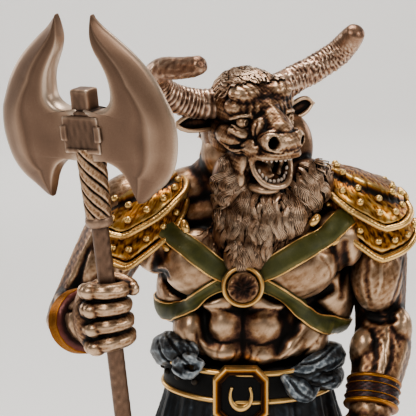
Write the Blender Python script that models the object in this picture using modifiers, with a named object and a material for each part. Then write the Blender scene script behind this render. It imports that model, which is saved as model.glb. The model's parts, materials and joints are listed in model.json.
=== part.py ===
# Minotaur statue: a bull-headed warrior holding a double-headed axe, on a low rock base.
# Metres, +Z up, the figure faces -Y and its underside rests on the ground plane at the origin.
# The free form is worked out in nominal millimetres, with the hoof soles at height zero and
# the tip of the higher horn at 226, and scales as shares of the figure's own height.
import bpy
import bmesh
import math
import random
import numpy as np
from mathutils import Vector, Matrix, Euler
from mathutils.bvhtree import BVHTree

# Driving dimensions in metres
FIGURE_HEIGHT = 0.226
BASE_THICKNESS = 0.0085
BASE_LENGTH = 0.098
BASE_WIDTH = 0.078
SEAT_GAP = 0.0003
HAFT_DIAMETER = 0.0058
HAFT_CLEARANCE = 0.0003
BLADE_HEIGHT = 0.0622
BLADE_WIDTH = 0.0726
AXE_HEIGHT = 0.1915
STRAP_WIDTH = 0.007
BLADE_THICKNESS = 0.0074

# Form constants in nominal millimetres and degrees
NOMINAL = 226.0
UNIT = FIGURE_HEIGHT / NOMINAL
VOXEL_BODY = 0.95
VOXEL_ALL = 0.72
BODY_FACES = 4600
FIGURE_FACES = 8200
HEAD_AT = (2.6, -11.0, 197.5)
HEAD_YAW = 33.0
HEAD_PITCH = 8.0
HEAD_ROLL = 3.0
HAFT_FOOT = (-29.4, -19.0)
HAFT_LEAN = (-0.106, -0.14)
BLADE_YAW = 36.0
STRAP_HALF = STRAP_WIDTH / UNIT / 2
PLATE_SLOPE = 0.4

for old in list(bpy.data.objects):
    bpy.data.objects.remove(old, do_unlink=True)

parts = bpy.data.collections.new("minotaur_statue")
bpy.context.scene.collection.children.link(parts)
cutters = bpy.data.collections.new("cutters")
bpy.context.scene.collection.children.link(cutters)


# Small tools
def material(name, colour, roughness, metallic):
    made = bpy.data.materials.new(name)
    made.use_nodes = True
    shader = made.node_tree.nodes["Principled BSDF"]
    shader.inputs["Base Color"].default_value = (*colour, 1.0)
    shader.inputs["Roughness"].default_value = roughness
    shader.inputs["Metallic"].default_value = metallic
    made.diffuse_color = (*colour, 1.0)
    return made


def put(name, mesh, home=parts):
    made = bpy.data.objects.new(name, mesh)
    home.objects.link(made)
    return made


def loft_mesh(name, points, faces):
    mesh = bpy.data.meshes.new(name)
    mesh.from_pydata([tuple(map(float, p)) for p in points], [], faces)
    mesh.update()
    return mesh


def applied(made):
    bpy.context.view_layer.update()
    graph = bpy.context.evaluated_depsgraph_get()
    mesh = bpy.data.meshes.new_from_object(made.evaluated_get(graph), depsgraph=graph)
    made.modifiers.clear()
    made.data = mesh
    return made


def spline(points, count):
    # Catmull-Rom through the given rows, any number of columns
    rows = np.asarray(points, float)
    rows = np.vstack([2 * rows[0] - rows[1], rows, 2 * rows[-1] - rows[-2]])
    spans = len(rows) - 3
    out = []
    for k in range(count):
        s = k / (count - 1) * spans
        i = min(int(s), spans - 1)
        t = s - i
        a, b, c, d = rows[i], rows[i + 1], rows[i + 2], rows[i + 3]
        out.append(0.5 * (2 * b + (c - a) * t + (2 * a - 5 * b + 4 * c - d) * t * t
                          + (3 * b - a - 3 * c + d) * t ** 3))
    return np.array(out)


class Clay:
    # Ellipsoids and tapering strands that a voxel remesh fuses into one body
    def __init__(self, name):
        self.name = name
        self.lump = bmesh.new()
        self.line = bpy.data.curves.new(name + "_strands", "CURVE")
        self.line.dimensions = "3D"
        self.line.bevel_depth = 1.0
        self.line.bevel_resolution = 2
        self.line.use_fill_caps = True
        self.solids = []

    def ball(self, x, y, z, rx, ry, rz, tx=0.0, ty=0.0, tz=0.0, frame=None):
        turn = Euler((math.radians(tx), math.radians(ty), math.radians(tz))).to_matrix().to_4x4()
        spot = Matrix.Translation((x, y, z)) @ turn @ Matrix.Diagonal((rx, ry, rz, 1.0))
        if frame is not None:
            spot = frame @ spot
        bmesh.ops.create_icosphere(self.lump, subdivisions=3, radius=1.0, matrix=spot)

    def strand(self, rows, frame=None):
        # Each row is x, y, z and the radius there
        run = self.line.splines.new("POLY")
        run.points.add(len(rows) - 1)
        for point, row in zip(run.points, rows):
            spot = Vector(row[:3])
            if frame is not None:
                spot = frame @ spot
            point.co = (*spot, 1.0)
            point.radius = float(row[3])

    def limb(self, rows, count=14, frame=None):
        path = spline(rows, count)
        self.strand(path, frame)
        for row in (path[0], path[-1]):
            self.ball(*row[:3], row[3], row[3], row[3], frame=frame)

    def add(self, mesh):
        self.solids.append(mesh)

    def fused(self, voxel, smooth=0):
        joined = bmesh.new()
        lump = bpy.data.meshes.new(self.name + "_lumps")
        self.lump.to_mesh(lump)
        joined.from_mesh(lump)
        if self.line.splines:
            holder = put(self.name + "_line", self.line, cutters)
            bpy.context.view_layer.update()
            graph = bpy.context.evaluated_depsgraph_get()
            tubes = bpy.data.meshes.new_from_object(holder.evaluated_get(graph), depsgraph=graph)
            joined.from_mesh(tubes)
            bpy.data.objects.remove(holder, do_unlink=True)
        for mesh in self.solids:
            joined.from_mesh(mesh)
        whole = bpy.data.meshes.new(self.name)
        joined.to_mesh(whole)
        joined.free()
        made = put(self.name, whole)
        fuse = made.modifiers.new("fuse", "REMESH")
        fuse.mode = "VOXEL"
        fuse.voxel_size = voxel
        if smooth:
            ease = made.modifiers.new("ease", "SMOOTH")
            ease.factor = 0.5
            ease.iterations = smooth
        return applied(made)


def surface(mesh):
    graph = bmesh.new()
    graph.from_mesh(mesh)
    tree = BVHTree.FromBMesh(graph)
    graph.free()
    return tree


def coords(mesh):
    flat = np.empty(len(mesh.vertices) * 3)
    mesh.vertices.foreach_get("co", flat)
    return flat.reshape(-1, 3)


def normals(mesh):
    flat = np.empty(len(mesh.vertices) * 3)
    mesh.vertices.foreach_get("normal", flat)
    return flat.reshape(-1, 3)


def seen(tree, x, z, side=-1.0):
    # The surface point seen from straight in front (side -1) or behind (side 1)
    spot, normal, _, _ = tree.ray_cast(Vector((x, side * 300.0, z)), Vector((0.0, -side, 0.0)))
    if spot is None:
        spot, normal, _, _ = tree.find_nearest(Vector((x, side * 20.0, z)))
    return spot, normal


def stroke(mesh, tree, path, width, depth, side=-1.0):
    # A soft furrow (depth below zero) or ridge (above zero) along an x, z path on the surface
    at = coords(mesh)
    out = normals(mesh)
    count = max(6, 6 * len(path))
    line = np.array([seen(tree, p[0], p[1], side)[0] for p in spline(path, count)])
    near = np.full(len(at), 1e9)
    low = line.min(axis=0) - width
    high = line.max(axis=0) + width
    inside = np.where(np.all((at > low) & (at < high), axis=1))[0]
    if len(inside) == 0:
        return
    spots = at[inside]
    best = np.full(len(inside), 1e9)
    share = np.zeros(len(inside))
    for k in range(len(line) - 1):
        a = line[k]
        run = line[k + 1] - a
        t = np.clip(((spots - a) @ run) / max(run @ run, 1e-9), 0, 1)
        gap = np.linalg.norm(spots - a - t[:, None] * run, axis=1)
        closer = gap < best
        best[closer] = gap[closer]
        share[closer] = (k + t[closer]) / (len(line) - 1)
    near[inside] = best
    fade = np.sin(np.pi * np.clip(share * 0.86 + 0.07, 0, 1)) ** 0.5
    push = depth * np.clip(1 - (best / width) ** 2, 0, 1) ** 2 * fade
    at[inside] += out[inside] * push[:, None]
    mesh.vertices.foreach_set("co", at.ravel())
    mesh.update()


def ribbon(tree, path, half, rise, name, steps=44, buried=1.6, shares=(-1.0, 0.0, 1.0)):
    # A flat band that lies on the body along a path of rough points
    line = spline(path, steps)
    spots = []
    ups = []
    for p in line:
        spot, normal, _, _ = tree.find_nearest(Vector(p))
        spots.append(spot)
        ups.append(normal)
    spots = np.array(spots)
    ups = np.array(ups)
    for _ in range(3):
        spots[1:-1] = (spots[:-2] + 2 * spots[1:-1] + spots[2:]) / 4
        ups[1:-1] = (ups[:-2] + 2 * ups[1:-1] + ups[2:]) / 4
    ups /= np.linalg.norm(ups, axis=1)[:, None]
    ahead = np.gradient(spots, axis=0)
    across = np.cross(ups, ahead)
    across /= np.linalg.norm(across, axis=1)[:, None]
    top = np.zeros((steps, len(shares), 3))
    low = np.zeros((steps, len(shares), 3))
    for j, share in enumerate(shares):
        for k in range(steps):
            q = spots[k] + across[k] * share * half
            near, _, _, _ = tree.find_nearest(Vector(q))
            near = np.array(near)
            height = float((near - q) @ ups[k])
            base = q + ups[k] * height
            top[k, j] = base + ups[k] * rise
            low[k, j] = base - ups[k] * buried
    for _ in range(3):
        top[1:-1] = (top[:-2] + 2 * top[1:-1] + top[2:]) / 4
        low[1:-1] = (low[:-2] + 2 * low[1:-1] + low[2:]) / 4
    rings = []
    for k in range(steps):
        rings.append(list(top[k]) + list(low[k][::-1]))
    return ring_loft(rings, name)


def ring_loft(rings, name, cap=True, closed=False):
    size = len(rings[0])
    points = [p for ring in rings for p in ring]
    faces = []
    turns = len(rings) if closed else len(rings) - 1
    for k in range(turns):
        a = k * size
        b = ((k + 1) % len(rings)) * size
        for j in range(size):
            n = (j + 1) % size
            faces.append((a + j, a + n, b + n, b + j))
    if cap and not closed:
        faces.append(tuple(range(size))[::-1])
        faces.append(tuple(len(points) - size + j for j in range(size)))
    mesh = loft_mesh(name, points, faces)
    graph = bmesh.new()
    graph.from_mesh(mesh)
    bmesh.ops.recalc_face_normals(graph, faces=graph.faces)
    graph.to_mesh(mesh)
    graph.free()
    return mesh


def close_gaps(mesh):
    # A union may drop a hair-thin face: its rim is closed again, then all is cut into triangles
    graph = bmesh.new()
    graph.from_mesh(mesh)
    rim = [edge for edge in graph.edges if len(edge.link_faces) == 1]
    bmesh.ops.holes_fill(graph, edges=rim, sides=0)
    bmesh.ops.triangulate(graph, faces=graph.faces[:])
    graph.to_mesh(mesh)
    graph.free()


# Placement of the head and of the haft
def head_frame():
    yaw = Matrix.Rotation(math.radians(HEAD_YAW), 4, "Z")
    pitch = Matrix.Rotation(math.radians(HEAD_PITCH), 4, "X")
    roll = Matrix.Rotation(math.radians(-HEAD_ROLL), 4, "Y")
    return Matrix.Translation(HEAD_AT) @ yaw @ pitch @ roll


HEAD = head_frame()


def haft_at(z):
    return Vector((HAFT_FOOT[0] + HAFT_LEAN[0] * z, HAFT_FOOT[1] + HAFT_LEAN[1] * z, z))


HAFT_RADIUS = HAFT_DIAMETER / UNIT / 2
BORE_RADIUS = HAFT_RADIUS + HAFT_CLEARANCE / UNIT


# Torso: ribs, shoulder girdle, chest, belly and hips
def torso_forms(clay):
    rows = [
        (4, 1, 143, 31, 18.5, 24), (4, 1.5, 158, 37, 14, 11), (2, 2, 169, 20, 13, 14),
        (-14, 3, 166, 14, 11, 9), (22, 4, 167, 14, 11, 9), (2, -2, 180, 15, 15, 15),
        (-13, 11, 152, 13, 9, 15), (21, 12, 152, 13, 9, 15),
        (-19, 6, 137, 9, 13, 19, 0, 14, 0), (31, 6, 135, 10.5, 13, 20, 0, -10, 0),
        (-13.5, -12.5, 142.8, 13.5, 10, 12, 0, 10, 10), (18.5, -12.5, 142.5, 16, 10.5, 13, 0, -6, -8),
        (-27, -9, 149, 10, 9, 11), (34, -8, 150, 10, 9, 11),
        (4, 0, 118, 24, 15.5, 22), (4, 6, 112, 22, 14, 18), (4, 1, 96, 28, 18, 15),
        (-16, -3, 118, 7, 11, 10), (24, -3, 116, 8, 11, 10),
        (-4.6, -13.5, 121, 5.6, 4.2, 5.6), (8.3, -13.5, 120.4, 6.6, 4.2, 5.6),
        (-4.2, -14.2, 111.5, 5, 3.6, 4), (7.6, -14.2, 110.8, 5.4, 3.6, 4.2),
        (-7, -13.5, 129, 6, 3.5, 4), (10, -13.5, 129, 7, 3.5, 4),
    ]
    for row in rows:
        clay.ball(*row)
    # Slanting side muscles over the hips
    for k in range(3):
        clay.strand([(14 + 5 * k, -15 + 2.5 * k, 108 + 1.5 * k, 1.0),
                     (18 + 5 * k, -14.6 + 3 * k, 113 + 1.5 * k, 2.6),
                     (23 + 4.6 * k, -12 + 3 * k, 119 + k, 1.2)])
        clay.strand([(-8 - 4 * k, -15 + 2.5 * k, 108 + 1.5 * k, 0.8),
                     (-11 - 4 * k, -14 + 3 * k, 113 + 1.5 * k, 2.2),
                     (-14 - 3.6 * k, -12 + 3 * k, 118 + k, 1.0)])


def arm_forms(clay):
    # The arm that holds the axe comes forward from the elbow
    clay.limb([(-37, -3, 160, 13.0), (-43, -3, 149, 12.2), (-50, -1.5, 136, 11.2), (-56, -1, 125, 9.8)])
    clay.ball(-45, -8, 143, 8.5, 8.5, 13, 0, 32, 0)
    clay.ball(-47, 5, 141, 9, 8.5, 14, 0, 32, 0)
    clay.limb([(-56, -1, 124, 9.8), (-56.5, -10, 122.5, 10.6), (-54, -18, 123.5, 10.4), (-51, -27, 125.5, 8.4)])
    clay.ball(-60, -6, 123, 6.5, 10, 9)
    # The other arm hangs and its forearm comes down and forward
    clay.limb([(46, 4, 159, 13.0), (49, 4, 147, 11.0), (50, 4, 134, 10.0), (50.5, 5, 121, 9.0)])
    clay.ball(48.5, -2, 137, 9.2, 9, 13.5)
    clay.ball(51, 11, 137, 8.5, 7.5, 14)
    clay.limb([(50.5, 5, 121, 9.0), (51, 0.5, 112.5, 10.6), (49.5, -4, 105, 10.0), (46, -12, 90, 7.6)])
    clay.ball(56, 0, 115.5, 5.4, 7, 10, 20, 8, 0)
    clay.ball(44.5, -3, 110, 5.5, 7, 9, 25, 0, 0)


def fist_forms(clay):
    # Four fingers stacked along the haft, the thumb behind it
    axis = (haft_at(140) - haft_at(116)).normalized()
    clay.ball(-49.5, -34, 128, 6.6, 7.4, 11.5)
    clay.ball(-44, -33.5, 127.5, 6, 4.5, 10.5)
    for k in range(4):
        z = 137.6 - 5.9 * k
        rise = 0.6 + 1.1 * k
        core = haft_at(z)
        wrap = HAFT_RADIUS + 2.6
        path = []
        for j, angle in enumerate((200, 232, 265, 300, 335, 372)):
            a = math.radians(angle)
            far = wrap + (2.2 if j == 0 else 0.5 if j in (1, 2) else 0.0)
            path.append((core.x + far * math.cos(a), core.y + far * math.sin(a),
                         core.z + rise * (j / 5.0 - 0.4), 2.95 if j < 5 else 2.4))
        clay.limb(path, 16)
        clay.ball(core.x - 5.6, core.y - 4.2, core.z - 0.5 * rise, 3.4, 3.2, 2.9)
    clay.limb([(-47, -33, 137, 3.4), (-42, -32, 139.5, 3.2), (-37, -35.5, 138.6, 2.8), (-35.6, -38.5, 137.8, 2.4)])
    # The free hand is a closed fist under its bracer
    clay.ball(45, -15.5, 83, 7.5, 7, 9, 25, 0, 0)
    for k in range(4):
        x = 51 - 4.1 * k
        clay.limb([(x, -20, 86, 2.6), (x - 0.3, -23.5, 80, 2.7), (x - 0.8, -19.5, 75.5, 2.6), (x - 1.2, -14, 77, 2.4)], 10)
    clay.limb([(39, -14, 87, 3.0), (37.6, -19.5, 82, 3.0), (41, -24, 78.5, 2.6)], 8)


# Head: skull, brows, muzzle, open jaws, ears and horns, in the head's own frame
def head_forms(clay):
    lumps = [
        (0, 0, 1, 12.5, 13, 11.8), (0, -5, 3, 8.5, 7.5, 7), (0, -9, -6, 9.5, 9, 8.5), (0, 2, -10, 12, 12, 12),
        (0, -21, -8.6, 7.4, 6.2, 4.8), (0, -20.5, -11.8, 8.2, 6.0, 2.6), (0, -16, -9, 7.6, 7, 6),
        (0, 4, -20, 10, 9, 12), (0, -13.5, -27.6, 6.8, 7.5, 3.4), (0, -4, -27, 8.5, 9, 6),
    ]
    for row in lumps:
        clay.ball(*row, frame=HEAD)
    clay.limb([(0, -12.5, 1.5, 3.6), (0, -17.5, -1.8, 4.0), (0, -22, -5.6, 4.6)], 8, frame=HEAD)
    clay.limb([(0, -6, -23, 3.6), (0, -12, -21.8, 3.8), (0, -17, -23.6, 2.8)], 8, frame=HEAD)
    for side in (-1, 1):
        twins = [
            (6.9 * side, -8.2, 3.6, 7.0, 5.2, 5.8), (10.0 * side, -7.6, 0.4, 3.6, 3.8, 3.0),
            (3.4 * side, -12.6, 1.0, 2.4, 2.4, 3.8), (9.3 * side, -9.2, -3.0, 2.5, 2.5, 2.4),
            (9.4 * side, -8.8, -6.4, 3.6, 2.6, 1.7), (9.8 * side, -5, -9, 3.8, 6.5, 4.0),
            (4.7 * side, -23.6, -7.8, 3.3, 3.2, 3.4), (8.0 * side, -15, -11.5, 2.8, 6.0, 3.4),
            (9.0 * side, -8, -17, 2.4, 6.5, 7), (8.0 * side, -6, -24, 2.6, 6.5, 6),
        ]
        for row in twins:
            clay.ball(*row, frame=HEAD)
        # Lips from the corner of the mouth to the chin and to the muzzle
        clay.strand(spline([(8.6 * side, -15.6, -15.6, 1.7), (8.3 * side, -17.3, -20, 1.9), (6.2 * side, -19.8, -23.9, 2.0),
                            (3.2 * side, -21.6, -25.5, 2.0), (0, -22.1, -25.8, 2.0)], 14), frame=HEAD)
        clay.strand(spline([(8.6 * side, -15.6, -15.6, 1.6), (8.5 * side, -18.5, -13.8, 1.6),
                            (6.2 * side, -23.2, -13.2, 1.7), (0, -25.2, -13.0, 1.8)], 12), frame=HEAD)
        # Teeth
        for k in range(4):
            clay.ball((1.1 + 1.9 * k) * side, -24.2 + 1.5 * k, -14.8, 0.9, 0.9, 1.9, frame=HEAD)
            clay.ball((1.0 + 1.7 * k) * side, -20.4 + 0.9 * k, -23.6 + 0.9 * k, 0.8, 0.8, 1.6, frame=HEAD)


def horn_rows():
    near = [(-4, -10, 198, 5.2), (-10.5, -12.5, 197.6, 5.2), (-16.5, -14.5, 198.2, 5.1), (-22.5, -18, 200.2, 4.9),
            (-27, -22.5, 204, 4.6), (-28, -28, 208.3, 4.3), (-25, -34, 210.8, 4.0), (-19.5, -39, 211.4, 3.7),
            (-14.5, -42.5, 212.3, 3.4), (-11.8, -44.3, 214.2, 2.8)]
    far = [(8, -9, 200, 5.2), (14.5, -6, 203, 5.1), (21.4, -2, 206.5, 4.8), (29.2, 1, 210.5, 4.7),
           (35.4, 1, 215.3, 4.6), (39.3, -2, 220.0, 4.1), (41, -5, 223.0, 3.0)]
    return near, far


def horn_forms(clay, rings=0.0, count=40):
    for rows, ring_end in zip(horn_rows(), (0.5, 0.75)):
        path = spline(rows, count)
        for k in range(count):
            share = k / (count - 1)
            fade = max(0.0, 1.0 - share / ring_end)
            path[k][3] += rings * fade * (0.5 + 0.5 * math.cos(k * math.pi))
        clay.strand(path)
        end = path[-1]
        clay.ball(*end[:3], end[3], end[3], end[3])


def ear_forms(clay):
    clay.limb([(-7, -10, 191, 2.6), (-12.5, -13, 191.6, 3.3), (-17.5, -15, 191.2, 2.6), (-21.4, -16.2, 190.8, 1.0)], 10)
    clay.ball(-14, -13.2, 192.2, 6.5, 1.8, 3.6)
    clay.limb([(16, -5, 194, 2.6), (20.5, -3.4, 195.5, 3.2), (23.5, -1.5, 196.5, 2.4), (25.6, 0.5, 197, 1.0)], 10)


# Locks of the beard and mane: each starts near the jaw and runs over the chest and neck
def beard_mass(clay):
    rows = [
        (8, -14, 161, 14, 8, 9.5), (3, -16.5, 153, 13, 6.5, 12), (-6, -12, 170, 8, 8, 13), (23, -10, 170, 10, 8, 9),
        (14, -15, 158, 11, 6.5, 9), (1.5, -20, 146, 7, 4, 8), (2, 6, 186, 15, 12, 18), (2, 12, 172, 16, 9, 16),
        (-4, -5, 188, 8.5, 8, 12), (18, -4, 182, 8, 8, 12), (9, -10, 168, 10, 8, 7),
    ]
    for row in rows:
        clay.ball(*row)


def lock_paths(count, seed):
    # Starts sit on a ring round the mouth and flow outward, bending down with length
    draw = random.Random(seed)
    paths = []
    for k in range(count):
        share = (k + 0.5) / count
        angle = math.radians(-205 + 212 * share + draw.uniform(-4, 4))
        for row in range(3):
            start = 9.6 + 6.5 * row + draw.uniform(-1.2, 1.2)
            x = 11.5 + start * math.cos(angle)
            z = 175.5 + start * math.sin(angle)
            reach = 13 + 6 * math.sin(math.pi * share) + draw.uniform(-2, 2)
            bend = 0.0
            wave = draw.uniform(0, 6.28)
            path = []
            for s in range(7):
                path.append((x, z))
                down = min(1.0, 0.35 + 0.12 * s)
                dx = math.cos(angle) * (1 - down) + 0.22 * math.sin(wave + 1.5 * s)
                dz = math.sin(angle) * (1 - down) - down
                size = math.hypot(dx, dz)
                x += dx / size * reach / 6
                z += dz / size * reach / 6
                bend += 1
            if z > 141 - 0.05 * abs(x - 1.5) and -14 < x < 34:
                paths.append(path)
    return paths


def lay_locks(clay, tree, paths, radius, lift, side=-1.0, seed=3):
    draw = random.Random(seed)
    for path in paths:
        thick = radius * draw.uniform(0.8, 1.2)
        rows = []
        last = len(path) - 1
        for s, (x, z) in enumerate(path):
            spot, normal = seen(tree, x, z, side)
            if rows and abs(spot.y - rows[-1][1]) > 9:
                break
            t = s / last
            swell = 0.55 + 0.45 * math.sin(math.pi * min(1.0, t + 0.25))
            out = spot + normal * lift * (1.0 - 0.5 * t)
            rows.append((out.x, out.y, out.z, thick * swell * (1.0 - 0.75 * t ** 3)))
        if len(rows) > 3:
            clay.strand(spline(rows, 3 * len(rows)))


def mane_paths(count, seed):
    draw = random.Random(seed)
    paths = []
    for k in range(count):
        x = -15 + 34 * (k + 0.5) / count + draw.uniform(-1, 1)
        for row in range(5):
            z = 206 - 9.5 * row + draw.uniform(-2, 2)
            wave = draw.uniform(0, 6.28)
            path = []
            px = x
            for s in range(6):
                path.append((px, z))
                px += 0.9 * math.sin(wave + 1.4 * s) + 0.05 * (px - 2)
                z -= 2.7
            paths.append(path)
    return paths


# Kilt: a flared, pleated skirt with a hollow underside
def kilt_mesh(segments, rows, pleats=15):
    rings = []
    for k in range(rows + 1):
        t = k / rows
        ring = []
        for j in range(segments):
            a = 2 * math.pi * j / segments
            wave = math.sin(pleats * a + 0.7 * math.sin(3 * a))
            fold = 2.3 * t ** 0.8 * (abs(wave) ** 0.7 * (1 if wave > 0 else -1))
            rx = 28.4 + 9.5 * t ** 1.1 + fold
            ry = 18.6 + 8.5 * t ** 1.1 + fold
            hem = 2.2 * math.sin(2 * a + 0.6) + 1.2 * math.sin(5 * a)
            z = 101 - 38 * t + hem * t
            ring.append((4 + rx * math.cos(a), 1 + ry * math.sin(a), z))
        rings.append(ring)
    for inset, up in ((3.2, 0.0), (5.5, 7.0)):
        ring = []
        for x, y, z in rings[rows]:
            away = math.hypot(x - 4, y - 1)
            pull = 1 - inset / away
            ring.append((4 + (x - 4) * pull, 1 + (y - 1) * pull, z + up))
        rings.append(ring)
    return ring_loft(rings, "kilt")


def hip_cloth(clay):
    clay.limb([(-17, -13, 112, 3.5), (-22, -8, 112, 5.8), (-24.5, 0, 110, 6.6), (-24, 9, 108, 5.4), (-16, 16, 106, 3.5)])
    clay.limb([(-13, -19, 108.5, 1.6), (-17, -17.5, 110, 2.6), (-21, -14, 106.5, 2.6), (-17, -17.5, 104.5, 2.2),
               (-13.5, -19, 107, 1.4)], 18)
    clay.limb([(20, -16, 104, 3.0), (27, -12, 107, 4.2), (33, -3, 108, 5.2), (31, 8, 107, 4.8), (22, 15, 106, 3.4)])
    clay.limb([(16, -19, 103.5, 1.6), (20, -19, 100, 4.0), (24, -16, 97.5, 3.2), (27, -14, 99, 1.4)], 12)
    clay.limb([(24, -15, 103, 2.0), (32, -8, 100, 3.2), (35, 2, 101, 3.0), (33, 10, 103, 1.6)], 12)


# Legs: furry bull's legs that end in hooves
def leg_forms(clay):
    for side, hip, knee, hock, foot in (
            (-1, (-9, 1, 84), (-14, -7, 50), (-18, 7, 27), (-20, 0, 9)),
            (1, (17, 1, 84), (23, -8, 50), (26.5, 6, 27), (28.5, -1, 9))):
        clay.limb([(*hip, 14), ((hip[0] + knee[0]) / 2, -5, 66, 13), (*knee, 9.6)])
        clay.limb([(*knee, 9.4), ((knee[0] + hock[0]) / 2, 2, 39, 9.2), (*hock, 6.0)])
        clay.limb([(*hock, 6.0), ((hock[0] + foot[0]) / 2, 4.5, 18, 5.6), (*foot, 6.2)])
        clay.ball(hock[0], hock[1] + 3, hock[2] + 1, 4.5, 4.5, 5.5)
        clay.ball(knee[0], knee[1] - 2.5, knee[2], 7, 6, 7)


def hoof_meshes():
    made = []
    for x, y in ((-20.3, -3.0), (28.8, -4.0)):
        for toe in (-1, 1):
            rings = []
            for z, wide, long, shift in ((0.0, 4.7, 8.4, 0.0), (2.5, 4.5, 8.0, 0.3), (7.5, 3.8, 6.4, 1.6),
                                         (11.5, 3.0, 4.8, 2.6)):
                ring = []
                for j in range(18):
                    a = 2 * math.pi * j / 18
                    ring.append((x + toe * 3.6 + wide * math.cos(a), y + shift + long * math.sin(a), z))
                rings.append(ring)
            made.append(ring_loft(rings, "hoof"))
    return made


def leg_locks(clay, tree, count, radius, seed):
    draw = random.Random(seed)
    for centre, top in ((-16, 56), (25, 56)):
        for k in range(count):
            turn = 2 * math.pi * (k + draw.uniform(-0.3, 0.3)) / count
            for row in range(5):
                z = top - 10 * row + draw.uniform(-2.5, 2.5)
                rows = []
                for s in range(5):
                    height = z - 2.9 * s
                    lean = centre + (-3.5 if centre < 0 else 3.5) * (56 - height) / 47
                    probe = Vector((lean + 30 * math.cos(turn + 0.1 * s), 30 * math.sin(turn + 0.1 * s), height))
                    aim = Vector((lean, 0, height)) - probe
                    spot, normal, _, _ = tree.ray_cast(probe, aim.normalized())
                    if spot is None or (spot - Vector((lean, 0, height))).length > 15:
                        break
                    out = spot + normal * 0.5
                    rows.append((out.x, out.y, out.z, radius * (1.1 - 0.85 * (s / 4) ** 2)))
                if len(rows) == 5 and min(r[2] for r in rows) > 9:
                    clay.strand(spline(rows, 12))


# Belt with a generic horned buckle
def belt_meshes(height, proud, bead):
    bands = []
    steps = 36
    rings = []
    for k in range(steps):
        a = 2 * math.pi * k / steps
        dip = (0.5 + 0.5 * math.cos(a)) ** 1.5
        mid = 106.0 + (100.0 - 106.0) * dip
        rx = 28.8 + proud
        ry = 19.4 + proud
        x = 4 + rx * math.sin(a)
        y = 1 - ry * math.cos(a)
        nx = math.sin(a) / rx
        ny = -math.cos(a) / ry
        size = math.hypot(nx, ny)
        nx /= size
        ny /= size
        half = height / 2
        ring = [(x, y, mid + half), (x, y, mid - half), (x - 5 * nx, y - 5 * ny, mid - half),
                (x - 5 * nx, y - 5 * ny, mid + half)]
        rings.append(ring)
    bands.append(ring_loft(rings, "belt", closed=True))
    for up in (-1, 1):
        rings = []
        for k in range(steps):
            a = 2 * math.pi * k / steps
            dip = (0.5 + 0.5 * math.cos(a)) ** 1.5
            mid = 106.0 + (100.0 - 106.0) * dip + up * (height / 2 - 0.3)
            rx = 28.8 + proud
            ry = 19.4 + proud
            nx = math.sin(a) / rx
            ny = -math.cos(a) / ry
            size = math.hypot(nx, ny)
            ring = []
            for j in range(4):
                b = 2 * math.pi * j / 4
                out = bead * math.cos(b)
                ring.append((4 + rx * math.sin(a) + nx / size * out, 1 - ry * math.cos(a) + ny / size * out,
                             mid + bead * math.sin(b)))
            rings.append(ring)
        bands.append(ring_loft(rings, "piping", closed=True))
    return bands


BUCKLE_AT = (0.8, -20.6, 97.4)


def octagon(wide, tall, cut):
    return [(-wide, -tall + cut), (-wide + cut, -tall), (wide - cut, -tall), (wide, -tall + cut),
            (wide, tall - cut), (wide - cut, tall), (-wide + cut, tall), (-wide, tall - cut)]


def buckle_meshes():
    cx, cy, cz = BUCKLE_AT
    outer = octagon(9.6, 10.2, 4.0)
    inner = octagon(6.8, 7.4, 2.9)
    rings = []
    for outline, front in ((outer, 4.0), (outer, -1.0), (outer, -1.6), (inner, -1.6), (inner, 4.0)):
        rings.append([(cx + u, cy + front, cz + v) for u, v in outline])
    frame = ring_loft(rings, "buckle_frame", closed=True)
    filled = octagon(7.9, 8.5, 3.3)
    plate = ring_loft([[(cx + u, cy + y, cz + v) for u, v in filled] for y in (3.4, 0.2)], "buckle_plate")
    # A plain pair of bull's horns
    rings = []
    for k in range(13):
        a = math.radians(-215 + 250 * k / 12)
        thick = max(0.45, 1.25 * (1 - abs(k - 6) / 8.5))
        rings.append([(cx + (3.9 + thick * u) * math.cos(a), cy + y, cz + 0.2 + (4.6 + thick * u) * math.sin(a))
                      for u, y in ((-1, 1.2), (-1, -0.7), (1, -0.7), (1, 1.2))])
    return frame, plate, ring_loft(rings, "horns")


# Pauldron: two shield-shaped plates over each shoulder
def plate_edge(a, tier):
    # How far down the bell the plate reaches at this turn from the outer side (0) to the neck (180)
    if tier == "lower":
        knots = ((0, 0.85), (40, 1.45), (76, 1.95), (84, 1.95), (120, 1.68), (135, 1.55), (150, 1.3), (180, 0.8))
    else:
        knots = ((0, 0.42), (40, 0.8), (74, 1.22), (82, 1.22), (110, 1.12), (133, 0.95), (150, 0.85), (180, 0.6))
    a = abs(a)
    for (a0, t0), (a1, t1) in zip(knots[:-1], knots[1:]):
        if a <= a1:
            s = (a - a0) / (a1 - a0)
            return t0 + (t1 - t0) * s
    return knots[-1][1]


def bell_point(centre, side, a, t, lift, size=(18.5, 16.0, 17.0, 16.5)):
    out, inward, deep, high = size
    turn = math.radians(a)
    if t <= 1.0:
        r = math.sin(t * math.pi / 2)
        z = high * math.cos(t * math.pi / 2)
    else:
        r = 1.0 + 0.03 * (t - 1.0)
        z = -15.0 * (t - 1.0)
    reach = out if math.cos(turn) > 0 else inward
    x = (reach + lift) * r * math.cos(turn)
    y = (deep + lift) * r * math.sin(turn)
    slope = PLATE_SLOPE * x
    return np.array((centre[0] + side * x, centre[1] + y, centre[2] + z - slope + lift * (1 if t < 0.5 else 0.4)))


PLATE_TURNS = (0, 20, 40, 60, 76, 84, 98, 115, 133, 150, 165)


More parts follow.
